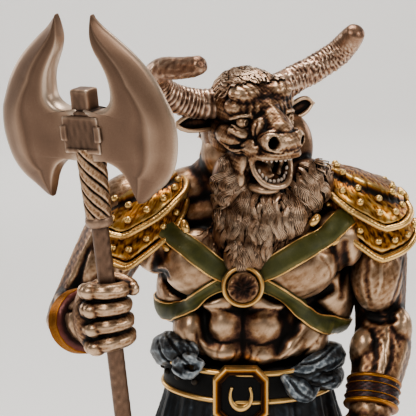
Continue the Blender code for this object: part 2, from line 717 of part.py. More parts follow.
def plate_mesh(centre, side, tier, lift, size):
    # A cap with a raised rim, closed inside the shoulder
    turns = [-180] + [-a for a in PLATE_TURNS[:0:-1]] + list(PLATE_TURNS)
    rings = []
    for share, extra in ((0.08, 0.0), (0.45, 0.0), (0.8, 0.0), (0.88, 0.1), (0.91, 1.0), (1.0, 0.9), (1.01, 0.0)):
        rings.append([bell_point(centre, side, a, share * plate_edge(a, tier), lift + extra, size)
                      for a in turns])
    core = np.array(centre, float)
    for pull, sink in ((0.5, 0.5), (0.06, 1.0)):
        inner = []
        for p in rings[6]:
            spot = core + (np.array(p) - core) * pull
            spot[2] = p[2] + (core[2] + 1.0 - p[2]) * sink
            inner.append(spot)
        rings.append(inner)
    return ring_loft(rings, tier + "_plate")


SHOULDERS = (((-34.5, -3.0, 156.5), -1, (16.0, 16.0, 16.0, 12.0)), ((45.0, 3.0, 158.5), 1, (16.6, 17.0, 16.5, 11.5)))


# Bracer bands round each wrist
def bracer(clay, ends, radius, bands, thick):
    a = Vector(ends[0])
    b = Vector(ends[1])
    axis = (b - a).normalized()
    turn = axis.to_track_quat("Z", "Y").to_matrix()
    count = 24
    rings = []
    size = (b - a).length
    for share, grow in bands:
        centre = a + axis * size * share
        ring = []
        for j in range(count):
            t = 2 * math.pi * j / count
            ring.append(centre + turn @ Vector(((radius + grow) * math.cos(t), (radius + grow) * math.sin(t), 0)))
        rings.append(ring)
    clay.add(ring_loft(rings, "bracer"))


BRACER_BANDS = ((0.0, -1.5), (0.0, 1.2), (0.12, 1.5), (0.24, 1.2), (0.26, 0.2), (0.74, 0.2), (0.76, 1.2), (0.88, 1.5),
                (1.0, 1.2), (1.0, -1.5))
BRACERS = (((-54.5, -17.5, 123.2), (-51.2, -27.5, 125.2), 10.4), ((47.8, -6.6, 100.2), (46.2, -11.6, 91.2), 8.9))


# Harness: four straps meet under a round boss on the chest
BOSS_AT = (1.4, 136.2)
STRAPS_FRONT = (
    ((-30, -12, 157), (-22.5, -17, 152.6), (-18.7, -20, 150.3), (-9, -24, 143.4), (1.4, -26, 136.2),
     (12, -23, 128.4), (22, -18, 122.6), (31, -10, 119.2), (37, 0, 117.8), (36, 8, 119), (27, 18, 125), (4, 20, 138),
     (-14, 18, 150), (-24, 12, 158)),
    ((38, -10, 158), (31, -17, 153.5), (27.7, -19, 151.4), (14, -24, 144.2), (1.4, -26, 136.2),
     (-8, -23, 129.4), (-16, -18, 126.6), (-23, -8, 125.0), (-25, 2, 125), (-22, 12, 128), (-12, 18, 132), (4, 20, 140),
     (22, 18, 151), (32, 12, 158)),
)


def boss_meshes():
    x, z = BOSS_AT
    dome = []
    for out, r in ((-20.0, 4.9), (-26.6, 4.9), (-27.6, 3.9), (-28.2, 2.0), (-28.3, 0.4)):
        dome.append([(x + r * math.cos(2 * math.pi * j / 18), out, z + r * math.sin(2 * math.pi * j / 18))
                     for j in range(18)])
    ring = []
    for out, r in ((-20.0, 7.6), (-26.2, 7.6), (-27.0, 7.1), (-27.0, 5.9), (-26.2, 5.4), (-20.0, 5.4)):
        ring.append([(x + r * math.cos(2 * math.pi * j / 24), out, z + r * math.sin(2 * math.pi * j / 24))
                     for j in range(24)])
    return ring_loft(dome, "boss"), ring_loft(ring, "ring", closed=True)


# Furrows that part the muscles, seen from in front and from behind
FRONT_FURROWS = (
    (((-27, 138), (-24, 133), (-18, 130.2), (-11, 131), (-5, 134)), 3.0, -1.9),
    (((8, 134.5), (12, 131), (18, 129.4), (26, 129.8), (33, 133)), 3.0, -1.9),
    (((1.6, 156), (1.4, 146), (1.4, 140)), 2.6, -1.6),
    (((1.6, 131), (1.6, 120), (1.6, 106)), 2.2, -1.5),
    (((-11, 116), (-5, 115.4), (1, 116), (8, 115.2), (15, 116)), 1.9, -1.1),
    (((-10.5, 126), (-11.5, 120), (-9.5, 110)), 2.2, -1.2),
    (((15.5, 126), (16, 120), (13.5, 109)), 2.2, -1.2),
    (((-28, 147), (-29, 140), (-27, 134)), 2.4, -1.3),
    (((36.5, 150), (37.5, 140), (36, 130)), 2.8, -1.6),
    (((44, 122.5), (50, 121), (57, 122.5)), 2.0, -1.1),
)
BACK_FURROWS = (
    (((4, 168), (4, 150), (4, 128), (4, 108)), 3.4, -2.0),
    (((-22, 158), (-14, 152), (-8, 142), (-12, 132)), 3.0, -1.4),
    (((30, 158), (22, 152), (16, 142), (20, 132)), 3.0, -1.4),
    (((-22, 128), (-14, 120), (-6, 110)), 2.6, -1.0),
    (((30, 128), (22, 120), (14, 110)), 2.6, -1.0),
)


def scaled(mesh):
    # From nominal millimetres on the soles to metres on the ground
    mesh.transform(Matrix.Translation((0, 0, BASE_THICKNESS + SEAT_GAP)) @ Matrix.Scale(UNIT, 4))
    mesh.update()


def keep_largest(mesh):
    graph = bmesh.new()
    graph.from_mesh(mesh)
    graph.verts.ensure_lookup_table()
    island = [-1] * len(graph.verts)
    sizes = []
    for seed in graph.verts:
        if island[seed.index] >= 0:
            continue
        mark = len(sizes)
        heap = [seed]
        island[seed.index] = mark
        count = 0
        while heap:
            here = heap.pop()
            count += 1
            for edge in here.link_edges:
                other = edge.other_vert(here)
                if island[other.index] < 0:
                    island[other.index] = mark
                    heap.append(other)
        sizes.append(count)
    best = sizes.index(max(sizes))
    loose = [v for v in graph.verts if island[v.index] != best]
    bmesh.ops.delete(graph, geom=loose, context="VERTS")
    graph.to_mesh(mesh)
    graph.free()
    mesh.update()


# The naked figure, modelled first so that bands and locks can lie on it
bare = Clay("bare")
torso_forms(bare)
arm_forms(bare)
leg_forms(bare)
body = bare.fused(VOXEL_BODY, 5)
skin = surface(body.data)
for path, width, depth in FRONT_FURROWS:
    stroke(body.data, skin, path, width, depth)
for path, width, depth in BACK_FURROWS:
    stroke(body.data, skin, path, width, depth, 1.0)
skin = surface(body.data)

whole = Clay("figure_clay")
whole.add(body.data)
head = Clay("head")
head_forms(head)
horn_forms(head, 0.5, 26)
ear_forms(head)
head_body = head.fused(0.62, 2)
whole.add(head_body.data)
mass = Clay("mass")
mass.add(body.data)
beard_mass(mass)
furry = mass.fused(1.0, 3)
hide = surface(furry.data)
lay_locks(whole, hide, lock_paths(19, 11), 1.75, 0.9)
lay_locks(whole, hide, mane_paths(9, 5), 1.9, 0.8, 1.0)
leg_locks(whole, skin, 9, 2.0, 9)
beard_mass(whole)
fist_forms(whole)
hip_cloth(whole)
whole.add(kilt_mesh(120, 10))
for near, far, radius in BRACERS:
    bracer(whole, (near, far), radius, BRACER_BANDS, 1.2)
for mesh in hoof_meshes():
    whole.add(mesh)

figure = whole.fused(VOXEL_ALL, 1)
keep_largest(figure.data)
for spare in (body, head_body, furry):
    bpy.data.objects.remove(spare, do_unlink=True)

# Flat soles at height zero
at = coords(figure.data)
at[:, 2] = np.maximum(at[:, 2], 0.0)
figure.data.vertices.foreach_set("co", at.ravel())
figure.data.update()

# Thin the mesh, keeping more faces on the head and hands
weights = figure.vertex_groups.new(name="plain")
calm = np.clip((188 - at[:, 2]) / 22, 0, 1)
hand = np.clip((np.hypot(at[:, 0] + 45, at[:, 1] + 38) - 8) / 10, 0, 1)
share = np.round(0.3 + 0.7 * np.minimum(calm, np.maximum(hand, np.abs(at[:, 2] - 128) > 16)), 1)
for step in np.unique(share):
    weights.add([int(i) for i in np.where(share == step)[0]], float(step), "REPLACE")
thin = figure.modifiers.new("thin", "DECIMATE")
thin.ratio = BODY_FACES / (2.0 * len(figure.data.polygons))
thin.vertex_group = "plain"
thin.vertex_group_factor = 0.02
thin.use_collapse_triangulate = True
applied(figure)

# Crisp dress on the thinned body: harness, belt, buckle and shoulder plates
dress = [ribbon(skin, row, STRAP_HALF, 1.3, "strap", 30) for row in STRAPS_FRONT]
dress += belt_meshes(10.4, 1.4, 1.0)
dress += buckle_meshes()
dress += boss_meshes()
for centre, side, size in SHOULDERS:
    dress.append(plate_mesh(centre, side, "lower", 0.8, size))
    dress.append(plate_mesh(centre, side, "upper", 2.8, size))
for mesh in dress:
    item = put(mesh.name, mesh, cutters)
    item.hide_render = True
    item.display_type = "WIRE"
    join = figure.modifiers.new("join", "BOOLEAN")
    join.operation = "UNION"
    join.solver = "EXACT"
    join.object = item
applied(figure)
close_gaps(figure.data)
trim = figure.modifiers.new("trim", "DECIMATE")
trim.ratio = FIGURE_FACES / len(figure.data.polygons)
applied(figure)

# Bore for the haft through the fist
low = haft_at(108)
high = haft_at(150)
bore_mesh = bpy.data.meshes.new("bore")
bore_graph = bmesh.new()
lean = (high - low).to_track_quat("Z", "Y").to_matrix().to_4x4()
bmesh.ops.create_cone(bore_graph, cap_ends=True, segments=20, radius1=BORE_RADIUS, radius2=BORE_RADIUS,
                      depth=(high - low).length, matrix=Matrix.Translation((low + high) / 2) @ lean)
bore_graph.to_mesh(bore_mesh)
bore_graph.free()
bore = put("haft_bore", bore_mesh, cutters)
bore.hide_render = True
bore.display_type = "WIRE"
cut = figure.modifiers.new("bore", "BOOLEAN")
cut.operation = "DIFFERENCE"
cut.solver = "EXACT"
cut.object = bore
applied(figure)
keep_largest(figure.data)
scaled(figure.data)
figure.name = "figure"
figure.data.name = "figure"
figure.data.materials.clear()
figure.data.materials.append(material("cold_cast_bronze", (0.26, 0.16, 0.10), 0.42, 0.8))
for mesh in (bore_mesh, *dress):
    scaled(mesh)


# Axe: each half blade is lofted between its cutting edge and its inner edge
BLADE_EDGE = ((18.4, -23.6), (20.6, -23.0), (25.3, -19.6), (30.2, -16.0), (33.6, -11.5), (35.7, -5.5), (36.3, 0.5),
              (35.7, 6.0), (34.0, 10.5), (31.0, 16.4), (27.0, 21.9), (22.0, 26.7), (16.7, 30.8), (12.0, 34.2),
              (9.1, 36.9), (7.5, 38.6))
BLADE_INNER = ((18.2, -23.2), (17.3, -20.0), (16.0, -16.3), (13.8, -13.0), (10.5, -10.6), (5.0, -9.0), (-0.6, -8.6),
               (-0.6, 6.8), (5.0, 6.9), (8.8, 7.5), (11.6, 9.2), (13.0, 11.7), (13.0, 15.7), (12.1, 19.4),
               (10.3, 23.0), (8.0, 27.0), (6.9, 30.7), (7.0, 34.5), (7.4, 38.2))


def blade_half(side, stations):
    edge = spline(BLADE_EDGE, stations)
    inner = spline(BLADE_INNER, stations)
    rings = []
    for k in range(stations):
        t = k / (stations - 1)
        body_t = math.sin(math.pi * min(1.0, max(0.0, 0.02 + 0.96 * t))) ** 0.45
        half = BLADE_THICKNESS / UNIT / 2 * body_t
        e = edge[k]
        i = inner[k]
        wide = float(np.linalg.norm(e - i))
        shoulder = e + (i - e) * min(0.5, 8.5 / max(wide, 1.0))
        keen = min(0.35, half)
        ring = [(side * e[0], -keen, e[1]), (side * shoulder[0], -half, shoulder[1]), (side * i[0], -half, i[1]),
                (side * i[0], half, i[1]), (side * shoulder[0], half, shoulder[1]), (side * e[0], keen, e[1])]
        rings.append(ring)
    return ring_loft(rings, "blade")


def turned_rings(profile, count):
    rings = []
    for z, radius in profile:
        rings.append([(radius * math.cos(2 * math.pi * j / count), radius * math.sin(2 * math.pi * j / count), z)
                      for j in range(count)])
    return rings


# The axe stands on its own axis: z runs along the haft from the foot
lean_size = math.sqrt(1 + HAFT_LEAN[0] ** 2 + HAFT_LEAN[1] ** 2)
blade_z = AXE_HEIGHT / UNIT * lean_size
wide_scale = BLADE_WIDTH / UNIT / 72.6
tall_scale = BLADE_HEIGHT / UNIT / 62.2
socket_tall = 12.6
socket_z = blade_z - 0.9
# The wrap starts below the blades and runs into the socket, so that the head stays joined to the haft
wrap_low = blade_z - 28.5
wrap_high = socket_z - socket_tall / 2 + 1.5
foot_up = 0.35
profile = [(foot_up, HAFT_RADIUS * 0.98), (foot_up + 5, HAFT_RADIUS)]
for k in range(1, 5):
    profile.append((foot_up + k * wrap_low / 5, HAFT_RADIUS))
profile += [(wrap_low - 4.2, HAFT_RADIUS), (wrap_low - 4.0, 4.3), (wrap_low - 2.2, 4.7), (wrap_low - 0.6, 4.3)]
axe = put("axe", ring_loft(turned_rings(profile, 12), "haft"))

wrap_rings = []
wrap_steps = 9
for k in range(wrap_steps):
    t = k / (wrap_steps - 1)
    ring = []
    for j in range(16):
        a = 2 * math.pi * j / 16
        rope = 4.35 + 0.55 * math.cos(4 * (a - 2.2 * t))
        ring.append((rope * math.cos(a), rope * math.sin(a), wrap_low - 1 + (wrap_high - wrap_low + 1) * t))
    wrap_rings.append(ring)
wrap = ring_loft(wrap_rings, "wrap")


def box_mesh(name, x, y, z, at_z, turn=0.0):
    graph = bmesh.new()
    spot = Matrix.Translation((0, 0, at_z)) @ Matrix.Rotation(math.radians(turn), 4, "Z")
    bmesh.ops.create_cube(graph, size=1.0, matrix=spot @ Matrix.Diagonal((x, y, z, 1.0)))
    mesh = bpy.data.meshes.new(name)
    graph.to_mesh(mesh)
    graph.free()
    return mesh


blades = [blade_half(1, 21), blade_half(-1, 21)]
for mesh in blades:
    mesh.transform(Matrix.Translation((0, 0, blade_z)) @ Matrix.Diagonal((wide_scale, 1.0, tall_scale, 1.0)))
socket = box_mesh("socket", 15.0, BLADE_THICKNESS / UNIT + 1.0, socket_tall, socket_z)
nub = box_mesh("nub", 7.4, 6.2, 10.0, blade_z + 9.5)
unions = [put(mesh.name, mesh, cutters) for mesh in (wrap, *blades, socket, nub)]
for item in unions:
    item.hide_render = True
    item.display_type = "WIRE"
    join = axe.modifiers.new("join", "BOOLEAN")
    join.operation = "UNION"
    join.solver = "EXACT"
    join.object = item
applied(axe)

haft_line = (haft_at(100) - haft_at(0)).normalized()
flat = Vector((math.cos(math.radians(BLADE_YAW)), -math.sin(math.radians(BLADE_YAW)), 0))
flat = (flat - haft_line * flat.dot(haft_line)).normalized()
face = haft_line.cross(flat)
stand = Matrix((flat, face, haft_line)).transposed().to_4x4()
place = Matrix.Translation(haft_at(0)) @ stand
for mesh in (axe.data, *[item.data for item in unions]):
    mesh.transform(place)
# The foot of the haft is cut level where it meets the base
foot = coords(axe.data)
foot[:, 2] = np.maximum(foot[:, 2], 0.0)
axe.data.vertices.foreach_set("co", foot.ravel())
for mesh in (axe.data, *[item.data for item in unions]):
    scaled(mesh)
axe.data.materials.clear()
axe.data.materials.append(material("cast_metal_paint", (0.30, 0.20, 0.15), 0.38, 0.85))

# Base: a low slab of rock, level under the hooves and rough round its rim
rock = Clay("base")
draw = random.Random(21)
rings = []
sides = 40
half_long = BASE_LENGTH / 2
half_wide = BASE_WIDTH / 2
rims = [1 + draw.uniform(-0.05, 0.03) for _ in range(sides)]
for z, grow in ((0.0, 0.985), (0.25, 1.0), (0.62, 0.97), (0.86, 0.985), (1.0, 0.93)):
    ring = []
    for j in range(sides):
        a = 2 * math.pi * j / sides
        rough = rims[j] + (0.012 * math.sin(7 * a + 9 * z) if z > 0 else 0.0)
        ring.append((half_long * grow * rough * math.cos(a), half_wide * grow * rough * math.sin(a) - 0.001,
                     BASE_THICKNESS * z))
    rings.append(ring)
base = put("base", ring_loft(rings, "base"))
base.data.materials.append(material("painted_rock", (0.10, 0.09, 0.085), 0.7, 0.1))
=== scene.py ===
import json
import math
import random
import bmesh
import bpy
import numpy as np
from mathutils import Euler, Matrix, Vector
from mathutils.bvhtree import BVHTree

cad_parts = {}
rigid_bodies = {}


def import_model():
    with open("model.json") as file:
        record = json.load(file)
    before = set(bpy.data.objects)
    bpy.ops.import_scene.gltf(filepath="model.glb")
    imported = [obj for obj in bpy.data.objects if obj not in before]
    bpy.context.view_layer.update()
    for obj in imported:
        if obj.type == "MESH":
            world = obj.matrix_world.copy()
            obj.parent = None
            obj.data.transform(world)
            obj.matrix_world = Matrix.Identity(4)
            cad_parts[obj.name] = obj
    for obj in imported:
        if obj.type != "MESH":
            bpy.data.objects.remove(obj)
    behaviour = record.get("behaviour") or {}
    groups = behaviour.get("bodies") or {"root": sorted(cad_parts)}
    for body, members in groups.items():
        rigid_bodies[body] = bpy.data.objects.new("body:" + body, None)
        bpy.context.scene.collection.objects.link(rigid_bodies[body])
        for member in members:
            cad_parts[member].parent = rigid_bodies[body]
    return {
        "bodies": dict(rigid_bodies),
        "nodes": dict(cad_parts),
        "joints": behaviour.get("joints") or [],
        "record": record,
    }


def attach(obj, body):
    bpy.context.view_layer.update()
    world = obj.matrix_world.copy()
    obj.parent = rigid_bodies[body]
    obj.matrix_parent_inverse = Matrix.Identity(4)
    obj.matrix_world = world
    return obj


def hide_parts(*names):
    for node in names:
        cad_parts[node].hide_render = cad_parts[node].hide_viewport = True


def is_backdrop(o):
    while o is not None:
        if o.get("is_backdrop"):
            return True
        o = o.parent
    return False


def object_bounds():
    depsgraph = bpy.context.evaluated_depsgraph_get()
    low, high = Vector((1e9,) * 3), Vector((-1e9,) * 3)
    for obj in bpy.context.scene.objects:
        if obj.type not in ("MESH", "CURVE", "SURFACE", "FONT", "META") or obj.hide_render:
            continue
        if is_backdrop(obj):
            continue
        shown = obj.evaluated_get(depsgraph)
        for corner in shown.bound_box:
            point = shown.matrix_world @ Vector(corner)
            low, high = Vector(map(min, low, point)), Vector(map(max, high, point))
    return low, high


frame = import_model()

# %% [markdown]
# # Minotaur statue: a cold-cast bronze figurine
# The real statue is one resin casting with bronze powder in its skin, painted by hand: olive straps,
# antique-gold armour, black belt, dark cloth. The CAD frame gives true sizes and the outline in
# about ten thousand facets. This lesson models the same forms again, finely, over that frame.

cad_box = [list(map(float, corner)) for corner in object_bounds()]
print("CAD box in mm:", [[round(1000 * v, 1) for v in corner] for corner in cad_box])

# %% [markdown]
# ## Units
# Sculptors work from proportions, so every form below is written in nominal millimetres with the
# hoof soles at height zero and the higher horn tip at 226. One function takes a finished mesh to
# metres on the base. The scale is set by a given figure height of 0.226 m.

# %% Scale from nominal millimetres to metres
NOMINAL_HEIGHT = 226.0
FIGURE_HEIGHT = 0.226
BASE_THICKNESS = 0.0085
SEAT_GAP = 0.0003
UNIT = FIGURE_HEIGHT / NOMINAL_HEIGHT
TO_METRES = Matrix.Translation((0, 0, BASE_THICKNESS + SEAT_GAP)) @ Matrix.Scale(UNIT, 4)
print("one nominal millimetre is", UNIT, "m")

# %% [markdown]
# ## Camera and light
# The photograph looks slightly down on the chest, from about three quarters of a metre. A long lens
# at that distance keeps the axe, which is nearer, a touch larger, as in the picture. Soft boxes to
# the upper left and right and a pale sweep behind stand in for a product photographer's table.

# %% Camera at the photograph's viewing angle
CAMERA_DISTANCE = 0.75
CAMERA_ELEVATION = math.radians(7.0)
CAMERA_TARGET = Vector((-0.0105, 0.0, 0.169))
CAMERA_LENS_MM = 185.4

camera_data = bpy.data.cameras.new("camera")
camera_data.lens = CAMERA_LENS_MM
camera_data.sensor_width = 36.0
camera = bpy.data.objects.new("camera", camera_data)
bpy.context.scene.collection.objects.link(camera)
back = Vector((0.0, -math.cos(CAMERA_ELEVATION), math.sin(CAMERA_ELEVATION)))
camera.location = CAMERA_TARGET + back * CAMERA_DISTANCE
camera.rotation_euler = back.to_track_quat("Z", "Y").to_euler()
bpy.context.scene.camera = camera

# %% Soft boxes and a dim surround


def soft_box(name, spot, aim, wide, watts):
    lamp = bpy.data.lights.new(name, "AREA")
    lamp.shape = "RECTANGLE"
    lamp.size = wide
    lamp.size_y = wide * 0.8
    lamp.energy = watts
    lamp.color = (1.0, 0.955, 0.90)
    made = bpy.data.objects.new(name, lamp)
    made.location = spot
    made.rotation_euler = (Vector(spot) - Vector(aim)).to_track_quat("Z", "Y").to_euler()
    bpy.context.scene.collection.objects.link(made)
    return made


CHEST = (0.0, 0.0, 0.16)
soft_box("key_left", (-0.50, -0.75, 0.80), CHEST, 0.42, 5.0)
soft_box("key_right", (0.72, -0.45, 0.60), CHEST, 0.40, 3.0)
soft_box("top", (0.0, 0.15, 0.95), CHEST, 0.50, 2.0)
soft_box("rim_right", (0.65, 0.45, 0.40), CHEST, 0.35, 1.3)
soft_box("sweep_light", (0.0, 0.25, 1.15), (0.0, 0.95, 0.25), 0.60, 14.0)
soft_box("rim_left", (-0.65, 0.45, 0.40), CHEST, 0.35, 1.3)
# Far behind the statue, turned away from it, so it lights the far floor and the wall only
soft_box("wall_light", (0.0, 1.4, 1.3), (0.0, 2.6, 0.5), 0.90, 26.0)

world = bpy.data.worlds.new("studio")
world.use_nodes = True
world.node_tree.nodes["Background"].inputs["Color"].default_value = (0.80, 0.78, 0.76, 1.0)
world.node_tree.nodes["Background"].inputs["Strength"].default_value = 0.05
bpy.context.scene.world = world

# %% [markdown]
# ## Nodes and colours
# A material is a small graph. One helper adds a node, sets its values and makes its links, so each
# finish below reads as a recipe. Colours are the sRGB hex values that a painter would match.

# %% Colour and node helpers


def linear(code, alpha=1.0):
    out = []
    for k in (1, 3, 5):
        v = int(code[k:k + 2], 16) / 255.0
        out.append(v / 12.92 if v <= 0.04045 else ((v + 0.055) / 1.055) ** 2.4)
    return (*out, alpha)


def node(tree, kind, settings=None, **links):
    made = tree.nodes.new(kind)
    for key, value in (settings or {}).items():
        if isinstance(key, str) and hasattr(made, key):
            setattr(made, key, value)
        else:
            made.inputs[key].default_value = value
    for key, source in links.items():
        tree.links.new(source, made.inputs[key.replace("_", " ")])
    return made


def ramp(tree, source, stops):
    made = node(tree, "ShaderNodeValToRGB", None, Fac=source)
    elements = made.color_ramp.elements
    elements.remove(elements[1])
    elements[0].position = stops[0][0]
    elements[0].color = linear(stops[0][1])
    for place, code in stops[1:]:
        elements.new(place).color = linear(code)
    return made.outputs["Color"]


def bare_material(name):
    made = bpy.data.materials.new(name)
    made.use_nodes = True
    tree = made.node_tree
    return made, tree, tree.nodes["Principled BSDF"]


# %% [markdown]
# ## Finishes
# Cold-cast bronze is resin with metal powder: it shines like worn metal on the high spots, while a
# dark wash stays in the hollows. Each mesh carries an attribute called relief, measured from its
# own shape: 0 in a groove, 0.5 on a plain face, 1 on a ridge. The colour ramp reads it, so the wash
# follows the carving instead of a picture, and its broad part paints shade into big creases too.
# Ambient occlusion darkens toward a wash colour: the wash in small hollows, and painted shade where
# two pieces meet, under the arms and in the neck.

# %% One recipe for all painted finishes
MM = 0.001


def painted(name, stops, metallic, rough, grit_mm, patch=0.16, speckle=0.10, bump=0.12, wash_and_shade_mm=3.0,
            wash_and_shade_code="#0b0806", gloss=0.5, wash_and_shade_power=1.0):
    # stops colour the relief from groove to ridge; grit is the size of the fine grain
    made, tree, shader = bare_material(name)
    relief = node(tree, "ShaderNodeAttribute", {"attribute_name": "relief"}).outputs["Fac"]
    place = node(tree, "ShaderNodeTexCoord").outputs["Object"]
    patches = node(tree, "ShaderNodeTexNoise", {"Scale": 1.0 / (7.0 * MM), "Detail": 4.0}, Vector=place)
    grain = node(tree, "ShaderNodeTexNoise", {"Scale": 1.0 / (grit_mm * MM), "Detail": 3.0, "Roughness": 0.7},
                 Vector=place)
    low = node(tree, "ShaderNodeMath", {"operation": "MULTIPLY_ADD", 1: patch * 2, 2: -patch})
    tree.links.new(patches.outputs["Fac"], low.inputs[0])
    fine = node(tree, "ShaderNodeMath", {"operation": "MULTIPLY_ADD", 1: speckle * 2, 2: -speckle})
    tree.links.new(grain.outputs["Fac"], fine.inputs[0])
    mixed = node(tree, "ShaderNodeMath", {"operation": "ADD"})
    tree.links.new(low.outputs[0], mixed.inputs[0])
    tree.links.new(fine.outputs[0], mixed.inputs[1])
    height = node(tree, "ShaderNodeMath", {"operation": "ADD", "use_clamp": True})
    tree.links.new(relief, height.inputs[0])
    tree.links.new(mixed.outputs[0], height.inputs[1])
    colour = ramp(tree, height.outputs[0], stops)
    # Ambient occlusion: the wash in small hollows, and painted shade where pieces meet and in deep creases
    hollow = node(tree, "ShaderNodeAmbientOcclusion", {"samples": 6, "Distance": wash_and_shade_mm * MM})
    open_share = node(tree, "ShaderNodeMath", {"operation": "POWER", 1: wash_and_shade_power, "use_clamp": True})
    tree.links.new(hollow.outputs["AO"], open_share.inputs[0])
    washed_and_shaded = node(tree, "ShaderNodeMix", {"data_type": "RGBA"})
    tree.links.new(open_share.outputs[0], washed_and_shaded.inputs[0])
    washed_and_shaded.inputs[6].default_value = linear(wash_and_shade_code)
    tree.links.new(colour, washed_and_shaded.inputs[7])
    tree.links.new(washed_and_shaded.outputs[2], shader.inputs["Base Color"])
    shader.inputs["Metallic"].default_value = metallic
    spread = node(tree, "ShaderNodeMapRange", {"To Min": rough + 0.16, "To Max": rough - 0.04})
    tree.links.new(height.outputs[0], spread.inputs["Value"])
    tree.links.new(spread.outputs[0], shader.inputs["Roughness"])
    shader.inputs["Specular IOR Level"].default_value = gloss
    if bump:
        dent = node(tree, "ShaderNodeBump", {"Strength": bump, "Distance": 0.12 * MM})
        tree.links.new(grain.outputs["Fac"], dent.inputs["Height"])
        tree.links.new(dent.outputs["Normal"], shader.inputs["Normal"])
    return made


# %% The finishes of this statue
# Bronze powder in resin: brown-black wash, warm brown body, pale worn metal on ridges; its wide
# occlusion reach paints shade in the neck, the armpits and the sides
BRONZE = painted("bronze_powder_skin", ((0.0, "#020100"), (0.28, "#100804"), (0.42, "#301b12"), (0.54, "#573826"),
                                        (0.70, "#8c6645"), (1.0, "#dcb895")), 0.86, 0.36, 0.45, patch=0.10,
                 speckle=0.08, wash_and_shade_mm=4.0, wash_and_shade_power=1.2)
# Hair takes more wash and more painted shade between the locks, and the brush catches only the tops of the locks
HAIR = painted("bronze_powder_hair", ((0.0, "#020100"), (0.36, "#0d0603"), (0.52, "#2c1810"), (0.68, "#60402a"),
                                      (0.86, "#a87f5e"), (1.0, "#e6c4a4")), 0.86, 0.32, 0.4, wash_and_shade_mm=1.6, wash_and_shade_power=1.5)
# The cast axe head: greyer, with a fine even metallic grain
BLADE = painted("brushed_axe_metal", ((0.0, "#0a0604"), (0.30, "#2d1e15"), (0.46, "#5c4536"), (0.60, "#785c49"),
                                      (0.85, "#a98a72"), (1.0, "#dcc2aa")), 0.80, 0.42, 0.35, patch=0.04, speckle=0.09)
# Antique gold: brown wash in the pits, pale worn gilding on the faces
GOLD = painted("antique_gold", ((0.0, "#060300"), (0.32, "#1c0d02"), (0.48, "#552c06"), (0.62, "#915310"),
                                (0.82, "#cc8a2c"), (1.0, "#f2c878")), 0.90, 0.32, 0.5, patch=0.12, wash_and_shade_mm=2.4, wash_and_shade_power=1.2)
# Piping and rims: fresher and more orange than the plates
BRIGHT_GOLD = painted("gold_piping", ((0.0, "#0c0500"), (0.35, "#4c2602"), (0.55, "#92520a"), (0.8, "#d0862a"),
                                      (1.0, "#f8c674")), 0.90, 0.32, 0.5, patch=0.10, wash_and_shade_mm=1.0)
# Satin olive on the harness straps
OLIVE = painted("olive_strap", ((0.0, "#040400"), (0.30, "#141504"), (0.50, "#2c300b"), (0.70, "#444516"),
                                (1.0, "#776a34")), 0.20, 0.46, 0.6, patch=0.2, gloss=0.35, wash_and_shade_mm=1.2)
# Black lacquer on the belt, the studs and the hooves
BLACK = painted("black_lacquer", ((0.0, "#000000"), (0.45, "#020202"), (0.68, "#050505"), (1.0, "#3a332b")), 0.0,
                0.5, 0.5, patch=0.08, bump=0.08, wash_and_shade_mm=2.5, gloss=0.12)
# Blue-grey cloth, brushed pale on its folds
CLOTH = painted("dark_cloth", ((0.0, "#020303"), (0.35, "#070a0d"), (0.52, "#10151a"), (0.70, "#232b33"),
                               (0.88, "#566069"), (1.0, "#9aa3a9")), 0.45, 0.38, 0.8, patch=0.10, wash_and_shade_mm=2.5)
# Oxide red under the bracer bands
RED = painted("dark_red_cuff", ((0.0, "#040101"), (0.40, "#150504"), (0.60, "#2d0c09"), (1.0, "#7a3426")), 0.45, 0.36,
              0.5, patch=0.12, wash_and_shade_mm=1.2)
BONE = painted("bone_teeth", ((0.0, "#20160f"), (0.45, "#6f5646"), (0.7, "#b39d8a"), (1.0, "#e2d2c0")), 0.25, 0.35, 0.5,
               patch=0.05, wash_and_shade_mm=0.8)
# Horn: the wash sits between the growth ridges
HORN = painted("bronze_powder_horn", ((0.0, "#040201"), (0.32, "#1a0f09"), (0.46, "#452c1f"), (0.58, "#68493a"),
                                      (0.78, "#a17c62"), (1.0, "#e0bfa4")), 0.86, 0.34, 0.45, wash_and_shade_mm=1.6)
ROCK = painted("dark_rock", ((0.0, "#060504"), (0.38, "#171412"), (0.55, "#2e2824"), (0.75, "#574c44"),
                             (1.0, "#94887b")), 0.15, 0.62, 0.9, patch=0.2, speckle=0.16, bump=0.3)
print(len(bpy.data.materials), "finishes")

# %% [markdown]
# ## Clay
# A sculptor builds up lumps and rolls of clay and then smooths them into one skin. Here a lump is an
# ellipsoid and a roll is a tapering curve. Blender's voxel remesh fuses them into one closed surface,
# which is simpler and sounder than joining meshes face by face.

# %% Small mesh tools
workshop = bpy.data.collections.new("minotaur_statue")
bpy.context.scene.collection.children.link(workshop)


def put(name, mesh):
    made = bpy.data.objects.new(name, mesh)
    workshop.objects.link(made)
    return made


def drop(*spare):
    for item in spare:
        bpy.data.objects.remove(item, do_unlink=True)


def applied(made):
    bpy.context.view_layer.update()
    graph = bpy.context.evaluated_depsgraph_get()
    mesh = bpy.data.meshes.new_from_object(made.evaluated_get(graph), depsgraph=graph)
    made.modifiers.clear()
    made.data = mesh
    return made


def spline(points, count):
    # Catmull-Rom through the given rows, any number of columns
    rows = np.asarray(points, float)
    rows = np.vstack([2 * rows[0] - rows[1], rows, 2 * rows[-1] - rows[-2]])
    s = np.linspace(0, len(rows) - 3, count)
    i = np.minimum(s.astype(int), len(rows) - 4)
    t = (s - i)[:, None]
    a, b, c, d = rows[i], rows[i + 1], rows[i + 2], rows[i + 3]
    return 0.5 * (2 * b + (c - a) * t + (2 * a - 5 * b + 4 * c - d) * t * t + (3 * b - a - 3 * c + d) * t ** 3)


def coords(mesh):
    flat = np.empty(len(mesh.vertices) * 3)
    mesh.vertices.foreach_get("co", flat)
    return flat.reshape(-1, 3)


